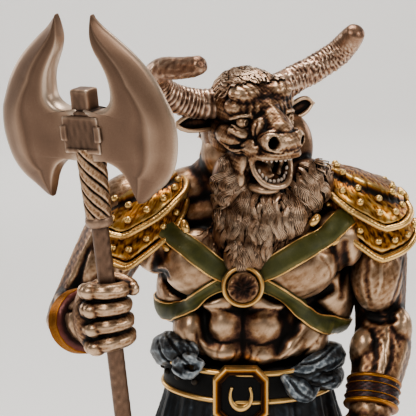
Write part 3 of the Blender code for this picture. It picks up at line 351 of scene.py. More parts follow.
def normals(mesh):
    flat = np.empty(len(mesh.vertices) * 3)
    mesh.vertices.foreach_get("normal", flat)
    return flat.reshape(-1, 3)


def moved(mesh, at):
    mesh.vertices.foreach_set("co", at.ravel())
    mesh.update()


def surface(mesh):
    graph = bmesh.new()
    graph.from_mesh(mesh)
    tree = BVHTree.FromBMesh(graph)
    graph.free()
    return tree


def ring_loft(rings, name, closed=False):
    # Faces between rings of points, capped at both ends unless the run closes on itself
    size = len(rings[0])
    points = [tuple(map(float, p)) for ring in rings for p in ring]
    faces = []
    for k in range(len(rings) if closed else len(rings) - 1):
        a = k * size
        b = ((k + 1) % len(rings)) * size
        faces += [(a + j, a + (j + 1) % size, b + (j + 1) % size, b + j) for j in range(size)]
    if not closed:
        faces.append(tuple(range(size))[::-1])
        faces.append(tuple(len(points) - size + j for j in range(size)))
    mesh = bpy.data.meshes.new(name)
    mesh.from_pydata(points, [], faces)
    graph = bmesh.new()
    graph.from_mesh(mesh)
    bmesh.ops.recalc_face_normals(graph, faces=graph.faces)
    graph.to_mesh(mesh)
    graph.free()
    return mesh


class Clay:
    # Lumps and rolls that a voxel remesh fuses into one body
    def __init__(self, name):
        self.name = name
        self.lump = bmesh.new()
        self.line = bpy.data.curves.new(name + "_rolls", "CURVE")
        self.line.dimensions = "3D"
        self.line.bevel_depth = 1.0
        self.line.bevel_resolution = 2
        self.line.use_fill_caps = True
        self.solids = []

    def ball(self, x, y, z, rx, ry, rz, tx=0.0, ty=0.0, tz=0.0, frame=None):
        turn = Euler((math.radians(tx), math.radians(ty), math.radians(tz))).to_matrix().to_4x4()
        spot = Matrix.Translation((x, y, z)) @ turn @ Matrix.Diagonal((rx, ry, rz, 1.0))
        if frame is not None:
            spot = frame @ spot
        bmesh.ops.create_icosphere(self.lump, subdivisions=4, radius=1.0, matrix=spot)

    def strand(self, rows, frame=None):
        # Each row is x, y, z and the radius there
        run = self.line.splines.new("POLY")
        run.points.add(len(rows) - 1)
        for point, row in zip(run.points, rows):
            spot = Vector(row[:3])
            if frame is not None:
                spot = frame @ spot
            point.co = (*spot, 1.0)
            point.radius = float(row[3])

    def limb(self, rows, count=24, frame=None):
        path = spline(rows, count)
        self.strand(path, frame)
        for row in (path[0], path[-1]):
            self.ball(*row[:3], row[3], row[3], row[3], frame=frame)

    def add(self, mesh):
        self.solids.append(mesh)

    def rolls(self):
        holder = put(self.name + "_line", self.line)
        bpy.context.view_layer.update()
        graph = bpy.context.evaluated_depsgraph_get()
        mesh = bpy.data.meshes.new_from_object(holder.evaluated_get(graph), depsgraph=graph)
        drop(holder)
        return mesh

    def fused(self, voxel, smooth=0):
        joined = bmesh.new()
        lump = bpy.data.meshes.new(self.name + "_lumps")
        self.lump.to_mesh(lump)
        joined.from_mesh(lump)
        if self.line.splines:
            joined.from_mesh(self.rolls())
        for mesh in self.solids:
            joined.from_mesh(mesh)
        whole = bpy.data.meshes.new(self.name)
        joined.to_mesh(whole)
        joined.free()
        made = put(self.name, whole)
        fuse = made.modifiers.new("fuse", "REMESH")
        fuse.mode = "VOXEL"
        fuse.voxel_size = voxel
        if smooth:
            ease = made.modifiers.new("ease", "SMOOTH")
            ease.factor = 0.5
            ease.iterations = smooth
        return applied(made)


# %% [markdown]
# ## Reading a mesh's own relief
# To know where a brush would catch, each vertex is compared with the average of its neighbours.
# Repeating the averaging compares it with a wider patch. A vertex that stands above its patch is a
# ridge, one below it is a groove. Two patch sizes catch both pores and folds; the broad one also
# darkens big creases such as the armpits, which is painted shade.

# %% Neighbour averaging, relief and soft noise


def neighbour_mean(mesh):
    edges = np.empty(len(mesh.edges) * 2, dtype=np.int64)
    mesh.edges.foreach_get("vertices", edges)
    a, b = edges.reshape(-1, 2).T
    size = len(mesh.vertices)
    share = 1.0 / np.maximum(np.bincount(a, minlength=size) + np.bincount(b, minlength=size), 1)

    def mean(values):
        return (np.bincount(a, values[b], size) + np.bincount(b, values[a], size)) * share
    return mean


def calmed(mesh, frame, centre, radii, rounds):
    # Softens the surface inside an ellipsoid of the given frame, like a wet thumb on clay
    back_to = frame.inverted()
    at = coords(mesh)
    local = np.array([back_to @ Vector(p) for p in at])
    share = np.clip(1.5 * (1 - np.linalg.norm((local - centre) / radii, axis=1)), 0, 1)[:, None]
    mean = neighbour_mean(mesh)
    for _ in range(rounds):
        at += share * (np.stack([mean(at[:, k]) for k in range(3)], axis=1) - at)
    moved(mesh, at)


def store_relief(mesh, fine=(6, 0.10), broad=(40, 0.55), lean=0.0):
    at = coords(mesh)
    out = normals(mesh)
    mean = neighbour_mean(mesh)
    smooth = at.copy()
    level = np.full(len(at), 0.5 + lean)
    rounds = 0
    # The broad patch also darkens big creases such as the armpits: painted shade
    for target, full in (fine, broad):
        while rounds < target:
            smooth = np.stack([mean(smooth[:, k]) for k in range(3)], axis=1)
            rounds += 1
        rise = np.einsum("ij,ij->i", at - smooth, out) / full
        level += 0.36 * np.tanh(rise)
    layer = mesh.attributes.new("relief", "FLOAT", "POINT")
    layer.data.foreach_set("value", np.clip(level, 0, 1).astype(np.float32))


def waves(at, size, seed, octaves=3):
    # Smooth, repeatable noise from sums of sines in random directions, about -1 to 1
    draw = np.random.default_rng(seed)
    total = np.zeros(len(at))
    gain = 1.0
    for _ in range(octaves):
        for _ in range(5):
            way = draw.normal(size=3)
            way *= 2 * math.pi / size / np.linalg.norm(way) * draw.uniform(0.7, 1.4)
            total += gain * np.sin(at @ way + draw.uniform(0, 6.28)) / 3.2
        gain *= 0.5
        size *= 0.5
    return total / 1.5


def roughened(mesh, size, depth, seed, octaves=3):
    at = coords(mesh)
    moved(mesh, at + normals(mesh) * (depth * waves(at, size, seed, octaves))[:, None])


# %% Giving a finished mesh its finish and its place
triangle_count = {}


def done(made, name, finish, stands_for="figure", fine=(6, 0.10), broad=(40, 0.55), lean=0.0, smooth=True):
    made.name = name
    made.data.name = name
    mesh = made.data
    mesh.shade_smooth() if smooth else mesh.shade_flat()
    store_relief(mesh, fine, broad, lean)
    mesh.transform(TO_METRES)
    mesh.materials.clear()
    mesh.materials.append(finish)
    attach(made, "root")
    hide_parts(stands_for)
    mesh.calc_loop_triangles()
    triangle_count[name] = len(mesh.loop_triangles)
    print(name, triangle_count[name], "triangles")
    return made


def shade_into(made, frame, centre, radii, strength):
    # Darkens the relief inside an ellipsoid of the given frame, as painted shade in a deep hollow such as the mouth
    mesh = made.data
    back_to = (TO_METRES @ frame).inverted()
    local = np.array([back_to @ Vector(p) for p in coords(mesh)])
    gap = np.linalg.norm((local - np.array(centre)) / np.array(radii), axis=1)
    level = np.empty(len(local), dtype=np.float32)
    mesh.attributes["relief"].data.foreach_get("value", level)
    level -= strength * np.clip((1 - gap) * 3.0, 0, 1)
    mesh.attributes["relief"].data.foreach_set("value", np.clip(level, 0, 1).astype(np.float32))


def whole_of(name, meshes):
    # Several meshes as one object
    graph = bmesh.new()
    for mesh in meshes:
        graph.from_mesh(mesh)
    mesh = bpy.data.meshes.new(name)
    graph.to_mesh(mesh)
    graph.free()
    return put(name, mesh)


# %% [markdown]
# ## The naked figure
# Muscles are overlapping ellipsoids, limbs are thick tapering curves. The same sizes made the CAD
# solid, so the fine skin lies on the coarse one. The torso, each arm and the legs are separate
# lumps of clay that meet in creases, or under the armour, where the eye expects a line.

# %% Haft and head placement
HEAD_AT = (2.6, -11.0, 197.5)
HEAD_TURN = (33.0, 8.0, 3.0)
HAFT_FOOT = (-29.4, -19.0)
HAFT_LEAN = (-0.106, -0.14)
HAFT_RADIUS = 2.9
yaw, pitch, roll = (math.radians(v) for v in HEAD_TURN)
HEAD = (Matrix.Translation(HEAD_AT) @ Matrix.Rotation(yaw, 4, "Z") @ Matrix.Rotation(pitch, 4, "X")
        @ Matrix.Rotation(-roll, 4, "Y"))


def haft_at(z):
    return Vector((HAFT_FOOT[0] + HAFT_LEAN[0] * z, HAFT_FOOT[1] + HAFT_LEAN[1] * z, z))


# %% Torso, arms and fists
TORSO_LUMPS = (
    (4, 1, 143, 31, 18.5, 24), (4, 1.5, 158, 37, 14, 11), (2, 2, 169, 20, 13, 14),
    (-14, 3, 166, 14, 11, 9), (22, 4, 167, 14, 11, 9), (2, -2, 180, 15, 15, 15),
    (-13, 11, 152, 13, 9, 15), (21, 12, 152, 13, 9, 15),
    (-19, 6, 137, 9, 13, 19, 0, 14, 0), (31, 6, 135, 10.5, 13, 20, 0, -10, 0),
    (-13.5, -12.5, 142.8, 13.5, 10, 12, 0, 10, 10), (18.5, -12.5, 142.5, 16, 10.5, 13, 0, -6, -8),
    (-27, -9, 149, 10, 9, 11), (34, -8, 150, 10, 9, 11),
    (4, 0, 118, 24, 15.5, 22), (4, 6, 112, 22, 14, 18), (4, 1, 96, 28, 18, 15),
    (-16, -3, 118, 7, 11, 10), (24, -3, 116, 8, 11, 10),
    (-4.6, -13.5, 121, 5.8, 4.4, 5.8), (8.3, -13.5, 120.4, 6.8, 4.4, 5.8),
    (-4.2, -14.2, 111.5, 5, 3.8, 4), (7.6, -14.2, 110.8, 5.4, 3.8, 4.2),
    (-7, -13.5, 129, 6, 3.5, 4), (10, -13.5, 129, 7, 3.5, 4),
)


def torso_forms(clay):
    for row in TORSO_LUMPS:
        clay.ball(*row)
    # Slanting side muscles over the hips
    for k in range(3):
        clay.strand([(14 + 5 * k, -15 + 2.5 * k, 108 + 1.5 * k, 1.0),
                     (18 + 5 * k, -14.6 + 3 * k, 113 + 1.5 * k, 2.7),
                     (23 + 4.6 * k, -12 + 3 * k, 119 + k, 1.2)])
        clay.strand([(-8 - 4 * k, -15 + 2.5 * k, 108 + 1.5 * k, 0.8),
                     (-11 - 4 * k, -14 + 3 * k, 113 + 1.5 * k, 2.3),
                     (-14 - 3.6 * k, -12 + 3 * k, 118 + k, 1.0)])


def axe_arm_forms(clay):
    clay.limb([(-37, -3, 160, 13.0), (-43, -3, 149, 12.2), (-50, -1.5, 136, 11.2), (-56, -1, 125, 9.8)])
    clay.ball(-45, -8, 143, 8.5, 8.5, 13, 0, 32, 0)
    clay.ball(-47, 5, 141, 9, 8.5, 14, 0, 32, 0)
    clay.limb([(-56, -1, 124, 9.8), (-56.5, -10, 122.5, 10.6), (-54, -18, 123.5, 10.4), (-51, -27, 125.5, 8.4)])
    clay.ball(-60, -6, 123, 6.5, 10, 9)


def free_arm_forms(clay):
    clay.limb([(46, 4, 159, 13.0), (49, 4, 147, 11.0), (50, 4, 134, 10.0), (50.5, 5, 121, 9.0)])
    clay.ball(48.5, -2, 137, 9.2, 9, 13.5)
    clay.ball(51, 11, 137, 8.5, 7.5, 14)
    clay.limb([(50.5, 5, 121, 9.0), (51, 0.5, 112.5, 10.6), (49.5, -4, 105, 10.0), (46, -12, 90, 7.6)])
    clay.ball(56, 0, 115.5, 5.4, 7, 10, 20, 8, 0)
    clay.ball(44.5, -3, 110, 5.5, 7, 9, 25, 0, 0)


def gripping_fist(clay):
    # Four fingers stacked along the haft, the thumb behind it
    clay.ball(-49.5, -34, 128, 6.6, 7.4, 11.5)
    clay.ball(-44, -33.5, 127.5, 6, 4.5, 10.5)
    for k in range(4):
        z = 137.6 - 5.9 * k
        rise = 0.6 + 1.1 * k
        core = haft_at(z)
        wrap = HAFT_RADIUS + 2.6
        path = []
        for j, angle in enumerate((200, 232, 265, 300, 335, 372)):
            a = math.radians(angle)
            far = wrap + (2.2 if j == 0 else 0.5 if j in (1, 2) else 0.0)
            path.append((core.x + far * math.cos(a), core.y + far * math.sin(a),
                         core.z + rise * (j / 5.0 - 0.4), 2.8 if j < 5 else 2.3))
        clay.limb(path, 24)
        clay.ball(core.x - 5.6, core.y - 4.2, core.z - 0.5 * rise, 3.3, 3.1, 2.8)
    clay.limb([(-47, -33, 137, 3.4), (-42, -32, 139.5, 3.2), (-37, -35.5, 138.6, 2.8), (-35.6, -38.5, 137.8, 2.4)])


def free_fist(clay):
    clay.ball(45, -15.5, 83, 7.5, 7, 9, 25, 0, 0)
    for k in range(4):
        x = 51 - 4.1 * k
        clay.limb([(x, -20, 86, 2.5), (x - 0.3, -23.5, 80, 2.6), (x - 0.8, -19.5, 75.5, 2.5), (x - 1.2, -14, 77, 2.3)], 16)
    clay.limb([(39, -14, 87, 3.0), (37.6, -19.5, 82, 3.0), (41, -24, 78.5, 2.6)], 14)


# %% Carving strokes: furrows and ridges drawn on a surface


def seen(tree, x, z, side=-1.0):
    # The surface point seen from straight in front (side -1) or behind (side 1)
    spot, normal, _, _ = tree.ray_cast(Vector((x, side * 300.0, z)), Vector((0.0, -side, 0.0)))
    if spot is None:
        spot, normal, _, _ = tree.find_nearest(Vector((x, side * 20.0, z)))
    return spot, normal


def stroke(mesh, tree, path, width, depth, side=-1.0, sharp=2.0):
    # Pushes the surface in (depth below zero) or out along an x, z path seen from the front or behind
    at = coords(mesh)
    out = normals(mesh)
    line = np.array([seen(tree, p[0], p[1], side)[0] for p in spline(path, max(6, 5 * len(path)))])
    inside = np.where(np.all((at > line.min(axis=0) - width) & (at < line.max(axis=0) + width), axis=1))[0]
    if len(inside) == 0:
        return
    spots = at[inside]
    best = np.full(len(inside), 1e9)
    share = np.zeros(len(inside))
    for k in range(len(line) - 1):
        run = line[k + 1] - line[k]
        t = np.clip(((spots - line[k]) @ run) / max(run @ run, 1e-9), 0, 1)
        gap = np.linalg.norm(spots - line[k] - t[:, None] * run, axis=1)
        closer = gap < best
        best[closer] = gap[closer]
        share[closer] = (k + t[closer]) / (len(line) - 1)
    fade = np.sin(np.pi * np.clip(share * 0.86 + 0.07, 0, 1)) ** 0.5
    at[inside] += out[inside] * (depth * np.clip(1 - (best / width) ** 2, 0, 1) ** sharp * fade)[:, None]
    moved(mesh, at)


def carve(mesh, rows, side=-1.0, sharp=2.0):
    tree = surface(mesh)
    for path, width, depth in rows:
        stroke(mesh, tree, path, width, depth, side, sharp)


# The furrows between muscles, as in the solid, then finer creases inside them
CHEST_FURROWS = (
    (((-27, 138), (-24, 133), (-18, 130.2), (-11, 131), (-5, 134)), 3.0, -1.9),
    (((8, 134.5), (12, 131), (18, 129.4), (26, 129.8), (33, 133)), 3.0, -1.9),
    (((1.6, 156), (1.4, 146), (1.4, 140)), 2.6, -1.6),
    (((1.6, 131), (1.6, 120), (1.6, 106)), 2.2, -0.5),
    (((-11, 116), (-5, 115.4), (1, 116), (8, 115.2), (15, 116)), 1.9, -0.6),
    (((-10.5, 126), (-11.5, 120), (-9.5, 110)), 2.2, -0.7),
    (((15.5, 126), (16, 120), (13.5, 109)), 2.2, -0.7),
    (((-28, 147), (-29, 140), (-27, 134)), 2.4, -0.9),
    (((36.5, 150), (37.5, 140), (36, 130)), 2.8, -1.0),
)
BACK_FURROWS = (
    (((4, 168), (4, 150), (4, 128), (4, 108)), 3.4, -2.0),
    (((-22, 158), (-14, 152), (-8, 142), (-12, 132)), 3.0, -1.4),
    (((30, 158), (22, 152), (16, 142), (20, 132)), 3.0, -1.4),
    (((-22, 128), (-14, 120), (-6, 110)), 2.6, -1.0),
    (((30, 128), (22, 120), (14, 110)), 2.6, -1.0),
)
FINE_CREASES = (
    (((-11, 127), (-7.5, 127.3), (-3.5, 126.6), (0, 125.2)), 0.9, -0.55),
    (((3.2, 125.4), (8, 127), (13, 126.4), (16, 124.6)), 0.9, -0.55),
    (((-10, 116.4), (-5, 115.2), (0.6, 116.2)), 0.8, -0.5), (((2.6, 116), (8, 114.6), (15.5, 116.6)), 0.8, -0.5),
    (((1.6, 130), (1.5, 120), (1.6, 107)), 0.9, -0.5), (((12, 106), (17, 111), (24, 119)), 1.0, -0.7),
    (((16, 104.5), (22, 110), (29, 117.5)), 1.0, -0.7), (((20, 104), (27, 108), (34, 116)), 1.0, -0.6),
    (((-9, 108), (-13, 113), (-15, 119)), 0.9, -0.5), (((-13, 108), (-17, 113), (-19, 119)), 0.9, -0.5),
    (((-4, 107.5), (-1.5, 110), (-0.5, 113)), 0.8, -0.45), (((7, 106.5), (6, 110), (8, 113)), 0.8, -0.45),
    (((3, 108), (4.5, 112), (3.5, 115)), 0.7, -0.4), (((-6.5, 108), (-7.5, 111), (-6, 114.5)), 0.7, -0.4),
    (((-27, 139), (-24.5, 133), (-18, 129.8), (-11, 130.6), (-6, 133)), 1.1, -0.8),
    (((9, 133), (13, 130.2), (19, 128.8), (27, 129.4), (33, 132)), 1.1, -0.8),
    (((20, 131), (24, 132.5), (29, 135.5)), 0.8, -0.35), (((28, 146), (31, 142), (32, 137)), 0.9, -0.35),
    (((25, 150), (29, 147.5), (33, 147)), 0.9, -0.35),
)

torso_clay = Clay("torso")
torso_forms(torso_clay)
torso = torso_clay.fused(0.82, 8)
carve(torso.data, CHEST_FURROWS)
carve(torso.data, BACK_FURROWS, 1.0)
# The belly muscles are soft and low, so their furrows are worn down before the fine creases
calmed(torso.data, Matrix.Identity(4), (2, -18, 115), (24, 14, 17), 26)
carve(torso.data, [(path, width, 0.5 * depth) for path, width, depth in FINE_CREASES])
roughened(torso.data, 2.6, 0.09, 4)
torso_skin = surface(torso.data)

arm_clay = Clay("axe_arm")
axe_arm_forms(arm_clay)
axe_arm = arm_clay.fused(0.70, 10)
carve(axe_arm.data, (
    (((-52, 147), (-55, 138), (-60, 130)), 2.0, -0.5), (((-43, 141), (-47, 133), (-50, 128)), 1.6, -0.4),
    (((-60, 128), (-55, 130), (-48, 131)), 1.4, -0.9), (((-66, 131), (-62, 124), (-63, 117)), 1.6, -0.6),
    (((-38, 146), (-41, 138), (-44, 131)), 1.2, -0.4), (((-45, 148), (-46, 140), (-50, 134)), 0.8, 0.35),
))
roughened(axe_arm.data, 2.2, 0.10, 5)

fist_clay = Clay("fist")
gripping_fist(fist_clay)
fist = fist_clay.fused(0.42, 2)
roughened(fist.data, 1.6, 0.07, 6)

free_clay = Clay("free_arm")
free_arm_forms(free_clay)
free_fist(free_clay)
free_arm = free_clay.fused(0.66, 8)
carve(free_arm.data, (
    (((44, 122.5), (50, 121), (57, 122.5)), 2.2, -0.7), (((45, 146), (44.5, 136), (46, 127)), 1.8, -0.35),
    (((54, 128), (56, 134), (58, 142)), 2.0, -0.45), (((47, 118), (48, 110), (46, 101)), 1.6, -0.3),
    (((53, 119), (53.5, 110), (50, 100)), 1.6, -0.3), (((46, 124.4), (50, 122.4), (55, 123.4)), 0.8, -0.4),
    (((49, 144), (49.5, 137), (48, 130)), 0.8, 0.3), (((50, 116), (51, 108), (48.5, 101)), 0.7, 0.3),
))
roughened(free_arm.data, 2.2, 0.10, 7)

# %% [markdown]
# ## Legs and hooves
# Below the belt the figure is finished in keeping: a bull's legs with rows of shaggy locks, and
# cloven hooves. A lock is a tapering curve laid on the leg along lines that run down and round it.

# %% Legs, fur and hooves
legs_clay = Clay("legs")
LEGS = (((-9, 1, 84), (-14, -7, 50), (-18, 7, 27), (-20, 0, 9)), ((17, 1, 84), (23, -8, 50), (26.5, 6, 27), (28.5, -1, 9)))
for hip, knee, hock, foot in LEGS:
    legs_clay.limb([(*hip, 14), ((hip[0] + knee[0]) / 2, -5, 66, 13), (*knee, 9.6)])
    legs_clay.limb([(*knee, 9.4), ((knee[0] + hock[0]) / 2, 2, 39, 9.2), (*hock, 6.0)])
    legs_clay.limb([(*hock, 6.0), ((hock[0] + foot[0]) / 2, 4.5, 18, 5.6), (*foot, 6.2)])
    legs_clay.ball(hock[0], hock[1] + 3, hock[2] + 1, 4.5, 4.5, 5.5)
    legs_clay.ball(knee[0], knee[1] - 2.5, knee[2], 7, 6, 7)
smooth_legs = legs_clay.fused(0.95, 3)
leg_skin = surface(smooth_legs.data)
furry_legs = Clay("legs")
furry_legs.add(smooth_legs.data)


def leg_locks(clay, tree, count, rows_down, radius, seed, lift=0.4):
    draw = random.Random(seed)
    for centre in (-16, 25):
        for k in range(count):
            turn = 2 * math.pi * (k + draw.uniform(-0.4, 0.4)) / count
            for row in range(rows_down):
                z = 62 - 46 / rows_down * row + draw.uniform(-2.5, 2.5)
                sway = draw.uniform(-0.16, 0.16)
                rows = []
                for s in range(6):
                    height = z - 2.4 * s
                    lean = centre + (-3.5 if centre < 0 else 3.5) * (56 - height) / 47
                    way = turn + sway * s * 0.5 + 0.06 * math.sin(2.0 * s + turn)
                    probe = Vector((lean + 30 * math.cos(way), 30 * math.sin(way), height))
                    aim = Vector((lean, 0, height)) - probe
                    spot, normal, _, _ = tree.ray_cast(probe, aim.normalized())
                    if spot is None or (spot - Vector((lean, 0, height))).length > 15:
                        break
                    away = spot + normal * lift
                    rows.append((*away, radius * (1.1 - 0.85 * (s / 5) ** 2)))
                if len(rows) == 6 and min(r[2] for r in rows) > 9:
                    clay.strand(spline(rows, 14))


leg_locks(furry_legs, leg_skin, 9, 5, 2.0, 9, 0.5)
leg_locks(furry_legs, leg_skin, 26, 9, 0.95, 19, 0.9)
legs = furry_legs.fused(0.88, 1)
drop(smooth_legs)
hoof_meshes = []
for x, y in ((-20.3, -3.0), (28.8, -4.0)):
    for toe in (-1, 1):
        rings = []
        for z, wide, long, shift in ((0.0, 4.5, 8.2, 0.0), (0.5, 4.7, 8.4, 0.0), (2.5, 4.5, 8.0, 0.3), (5.0, 4.2, 7.3, 0.9),
                                     (7.5, 3.8, 6.4, 1.6), (11.5, 3.0, 4.8, 2.6), (12.0, 2.0, 3.6, 2.6)):
            ridge = 0.12 * math.cos(z * 4.0)
            rings.append([(x + toe * 3.6 + (wide + ridge) * math.cos(a), y + shift + (long + ridge) * math.sin(a), z)
                          for a in np.linspace(0, 2 * math.pi, 40, endpoint=False)])
        hoof_meshes.append(ring_loft(rings, "hoof"))
hooves = whole_of("hooves", hoof_meshes)

# %% [markdown]
# ## The bull's head
# The head is turned, so it is modelled in its own frame, nose toward -Y, and placed by one matrix.
# Bulges come first, then the sockets, nostrils and mouth are opened by strokes, then wrinkles. Eyes
# and teeth are small separate pieces, because paint meets there in a sharp line.

# %% Skull, brows, muzzle and jaws
head_clay = Clay("head")
SKULL = (
    (0, 0, 1, 12.2, 13, 11.0), (0, -5, 3, 8.5, 7.5, 6.6), (0, -9, -6, 9.5, 9, 8.5), (0, 2, -10, 12, 12, 12),
    (0, -20.8, -8.2, 8.0, 6.6, 4.9), (0, -20.9, -11.2, 7.8, 6.1, 2.9), (0, -16, -9, 7.4, 7, 6),
    (0, 4, -20, 10, 9, 12), (0, -12.0, -26.4, 5.6, 7.0, 2.6), (0, -3, -25, 7.6, 6.0, 6),
)
for row in SKULL:
    head_clay.ball(*row, frame=HEAD)
head_clay.limb([(0, -12.2, 0.4, 4.2), (0, -16.2, -2.8, 4.8), (0, -20, -6.0, 5.2)], 12, frame=HEAD)
MOUTH_CORNER = (7.7, -15.8, -15.7)
for side in (-1, 1):
    for row in (
            (6.2 * side, -8.4, 5.8, 6.2, 4.8, 3.6), (8.2 * side, -8.0, 1.6, 5.4, 4.6, 3.4),
            (9.4 * side, -8.8, -6.6, 3.6, 2.7, 2.2),
            (9.8 * side, -5, -9, 3.8, 6.5, 4.0), (4.5 * side, -22.7, -7.7, 3.9, 3.6, 3.8), (4.2 * side, -15.4, -5.2, 3.6, 3.8, 4.6),
            (7.4 * side, -15, -11.3, 2.8, 6.0, 3.4), (7.8 * side, -7, -17, 2.2, 5.5, 6),
            (7.6 * side, -6, -23.5, 2.4, 5.5, 5)):
        head_clay.ball(*row, frame=HEAD)
    # Folded skin over the eye: five thick rolls that fan out from the bridge
    for k in range(5):
        foot = Vector((3.0 + 2.15 * k, -14.2 + 0.16 * k + 0.26 * k * k, -0.5 - 0.10 * k + 0.06 * k * k))
        mid = Vector((2.7 + 2.05 * k, -14.0 + 0.16 * k + 0.27 * k * k, 2.2 + 0.10 * k))
        top = Vector((2.9 + 1.75 * k, -12.2 + 0.12 * k + 0.24 * k * k, 5.0 + 0.2 * k))
        head_clay.strand(spline([(foot.x * side, foot.y, foot.z, 0.9), (mid.x * side, mid.y, mid.z, 1.05),
                                 (top.x * side, top.y, top.z, 0.5)], 12), frame=HEAD)
    lids = (
        # Upper lid, lower lid, the bag below it and two cheek folds
        ((5.6, -13.2, -1.7, 0.6), (9.3, -13.6, -0.5, 0.85), (13.3, -9.4, -2.0, 0.6)),
        ((6.2, -12.9, -3.6, 0.4), (9.4, -12.9, -5.3, 0.55), (12.8, -10.2, -3.8, 0.4)),
        ((5.4, -12.8, -4.6, 0.6), (9.2, -12.8, -7.3, 1.3), (13.2, -9.0, -5.4, 0.7)),
        ((5.8, -13.4, -7.4, 0.5), (9.2, -11.6, -10.0, 1.0), (13.0, -7.4, -8.4, 0.6)),
        ((6.6, -14.6, -10.6, 0.6), (9.8, -10.6, -13.2, 1.0), (12.0, -5.6, -12.4, 0.6)),
    )
    for rows in lids:
        head_clay.strand(spline([(x * side, y, z, r) for x, y, z, r in rows], 16), frame=HEAD)
    # Lips from the corner of the mouth to the chin and to the muzzle
    x, y, z = MOUTH_CORNER
    head_clay.strand(spline([(x * side, y, z, 1.0), (7.4 * side, -17.4, -19.3, 1.0), (5.6 * side, -19.6, -22.5, 1.1),
                             (2.9 * side, -21.1, -24.0, 1.15), (0, -21.5, -24.3, 1.15)], 20), frame=HEAD)
    head_clay.strand(spline([(x * side, y, z, 1.3), (7.8 * side, -18.5, -13.6, 1.3),
                             (6.0 * side, -23.0, -12.9, 1.4), (0, -25.0, -12.7, 1.4)], 18), frame=HEAD)
tongue_clay = Clay("tongue")
tongue_clay.limb([(0, -6, -21.5, 3.0), (-0.4, -12, -20.6, 3.0), (-0.6, -16.2, -21.4, 1.6), (-0.6, -18.4, -20.8, 0.7)], 14,
                 frame=HEAD)
tongue = tongue_clay.fused(0.5, 2)

# %% Horns and ears
NEAR_HORN = ((-4, -10, 198, 5.2), (-10.5, -12.5, 197.6, 5.2), (-16.5, -14.5, 198.2, 5.1), (-22.5, -18, 200.2, 4.9),
             (-27, -22.5, 204, 4.6), (-28, -28, 208.3, 4.3), (-25, -34, 210.8, 4.0), (-19.5, -39, 211.4, 3.7),
             (-14.5, -42.5, 212.3, 3.4), (-11.8, -44.3, 214.2, 2.8))
FAR_HORN = ((8, -9, 200, 5.2), (14.5, -6, 203, 5.1), (21.4, -2, 206.5, 4.8), (29.2, 1, 210.5, 4.7),
            (35.4, 1, 215.3, 4.6), (39.3, -2, 220.0, 4.1), (41, -5, 223.0, 3.0))


def horn_mesh(rows, count, ringed_to, seed, ring_depth):
    # A tube with growth rings that fade toward the smooth tip
    path = spline(rows, count)
    draw = random.Random(seed)
    rings = []
    along = np.gradient(path[:, :3], axis=0)
    side_way = Vector((0, 0, 1))
    phase = 0.0
    ripple = []
    for k in range(count):
        phase += draw.uniform(0.6, 1.5)
        ripple.append(math.sin(phase))
    for k in range(count):
        t = k / (count - 1)
        ahead = Vector(along[k]).normalized()
        across = ahead.cross(side_way).normalized()
        upward = across.cross(ahead).normalized()
        fade = max(0.0, min(1.0, (ringed_to - t) * 6))
        tip = 1.0 if t < 0.93 else math.sqrt(max(0.02, 1 - ((t - 0.93) / 0.072) ** 2))
        ring = []
        for j in range(48):
            a = 2 * math.pi * j / 48
            twist = 0.5 * math.sin(3 * a + 5.0 * t * 6) + 0.5 * math.sin(7 * a + 40 * t)
            r = path[k, 3] * tip + fade * (ring_depth * ripple[k] + 0.16 * twist)
            ring.append(Vector(path[k, :3]) + across * r * math.cos(a) + upward * r * math.sin(a))
        rings.append(ring)
    return ring_loft(rings, "horn")


near_horn = put("near_horn", horn_mesh(NEAR_HORN, 190, 0.60, 2, 0.16))
far_horn = put("far_horn", horn_mesh(FAR_HORN, 170, 0.80, 3, 0.10))
roughened(near_horn.data, 2.4, 0.12, 31)
# The far horn has a bark-like stipple that fades toward its smooth tip
bark = coords(far_horn.data)
bark_share = np.clip((219.0 - bark[:, 2]) / 5.0, 0.15, 1.0)
bark_depth = bark_share * 0.42 * np.abs(waves(bark, 2.2, 32)) - 0.1
moved(far_horn.data, bark + normals(far_horn.data) * bark_depth[:, None])

ear_clay = Clay("ears")
NEAR_EAR = ((-7, -10, 191, 2.4), (-12.5, -13, 191.6, 3.0), (-17.5, -15, 191.2, 2.4), (-21.4, -16.2, 190.8, 0.9))
FAR_EAR = ((16, -5, 194, 2.4), (20.5, -3.4, 195.5, 3.0), (23.5, -1.5, 196.5, 2.2), (25.6, 0.5, 197, 0.9))
for rows, hollow in ((NEAR_EAR, 1), (FAR_EAR, 1)):
    mid = spline(rows, 24)
    # An upper and a lower rim with a thin leaf between leave a hollow that faces forward
    for lift in (1, -1):
        rim = [(x, y - 1.0, z + lift * 2.9 * math.sin(math.pi * min(1.0, 0.12 + 0.88 * k / 23)) ** 0.8, 0.85)
               for k, (x, y, z, r) in enumerate(mid)]
        ear_clay.strand(rim)
    for k, (x, y, z, r) in enumerate(mid):
        tall = 3.2 * math.sin(math.pi * min(1.0, 0.12 + 0.88 * k / 23)) ** 0.8 + 0.2
        ear_clay.ball(x, y + 0.9, z, 1.6, 0.8, tall)
ears = ear_clay.fused(0.4, 1)

# %% Fuse the head and carve its face
head = head_clay.fused(0.44, 6)
IN_HEAD = HEAD.inverted()


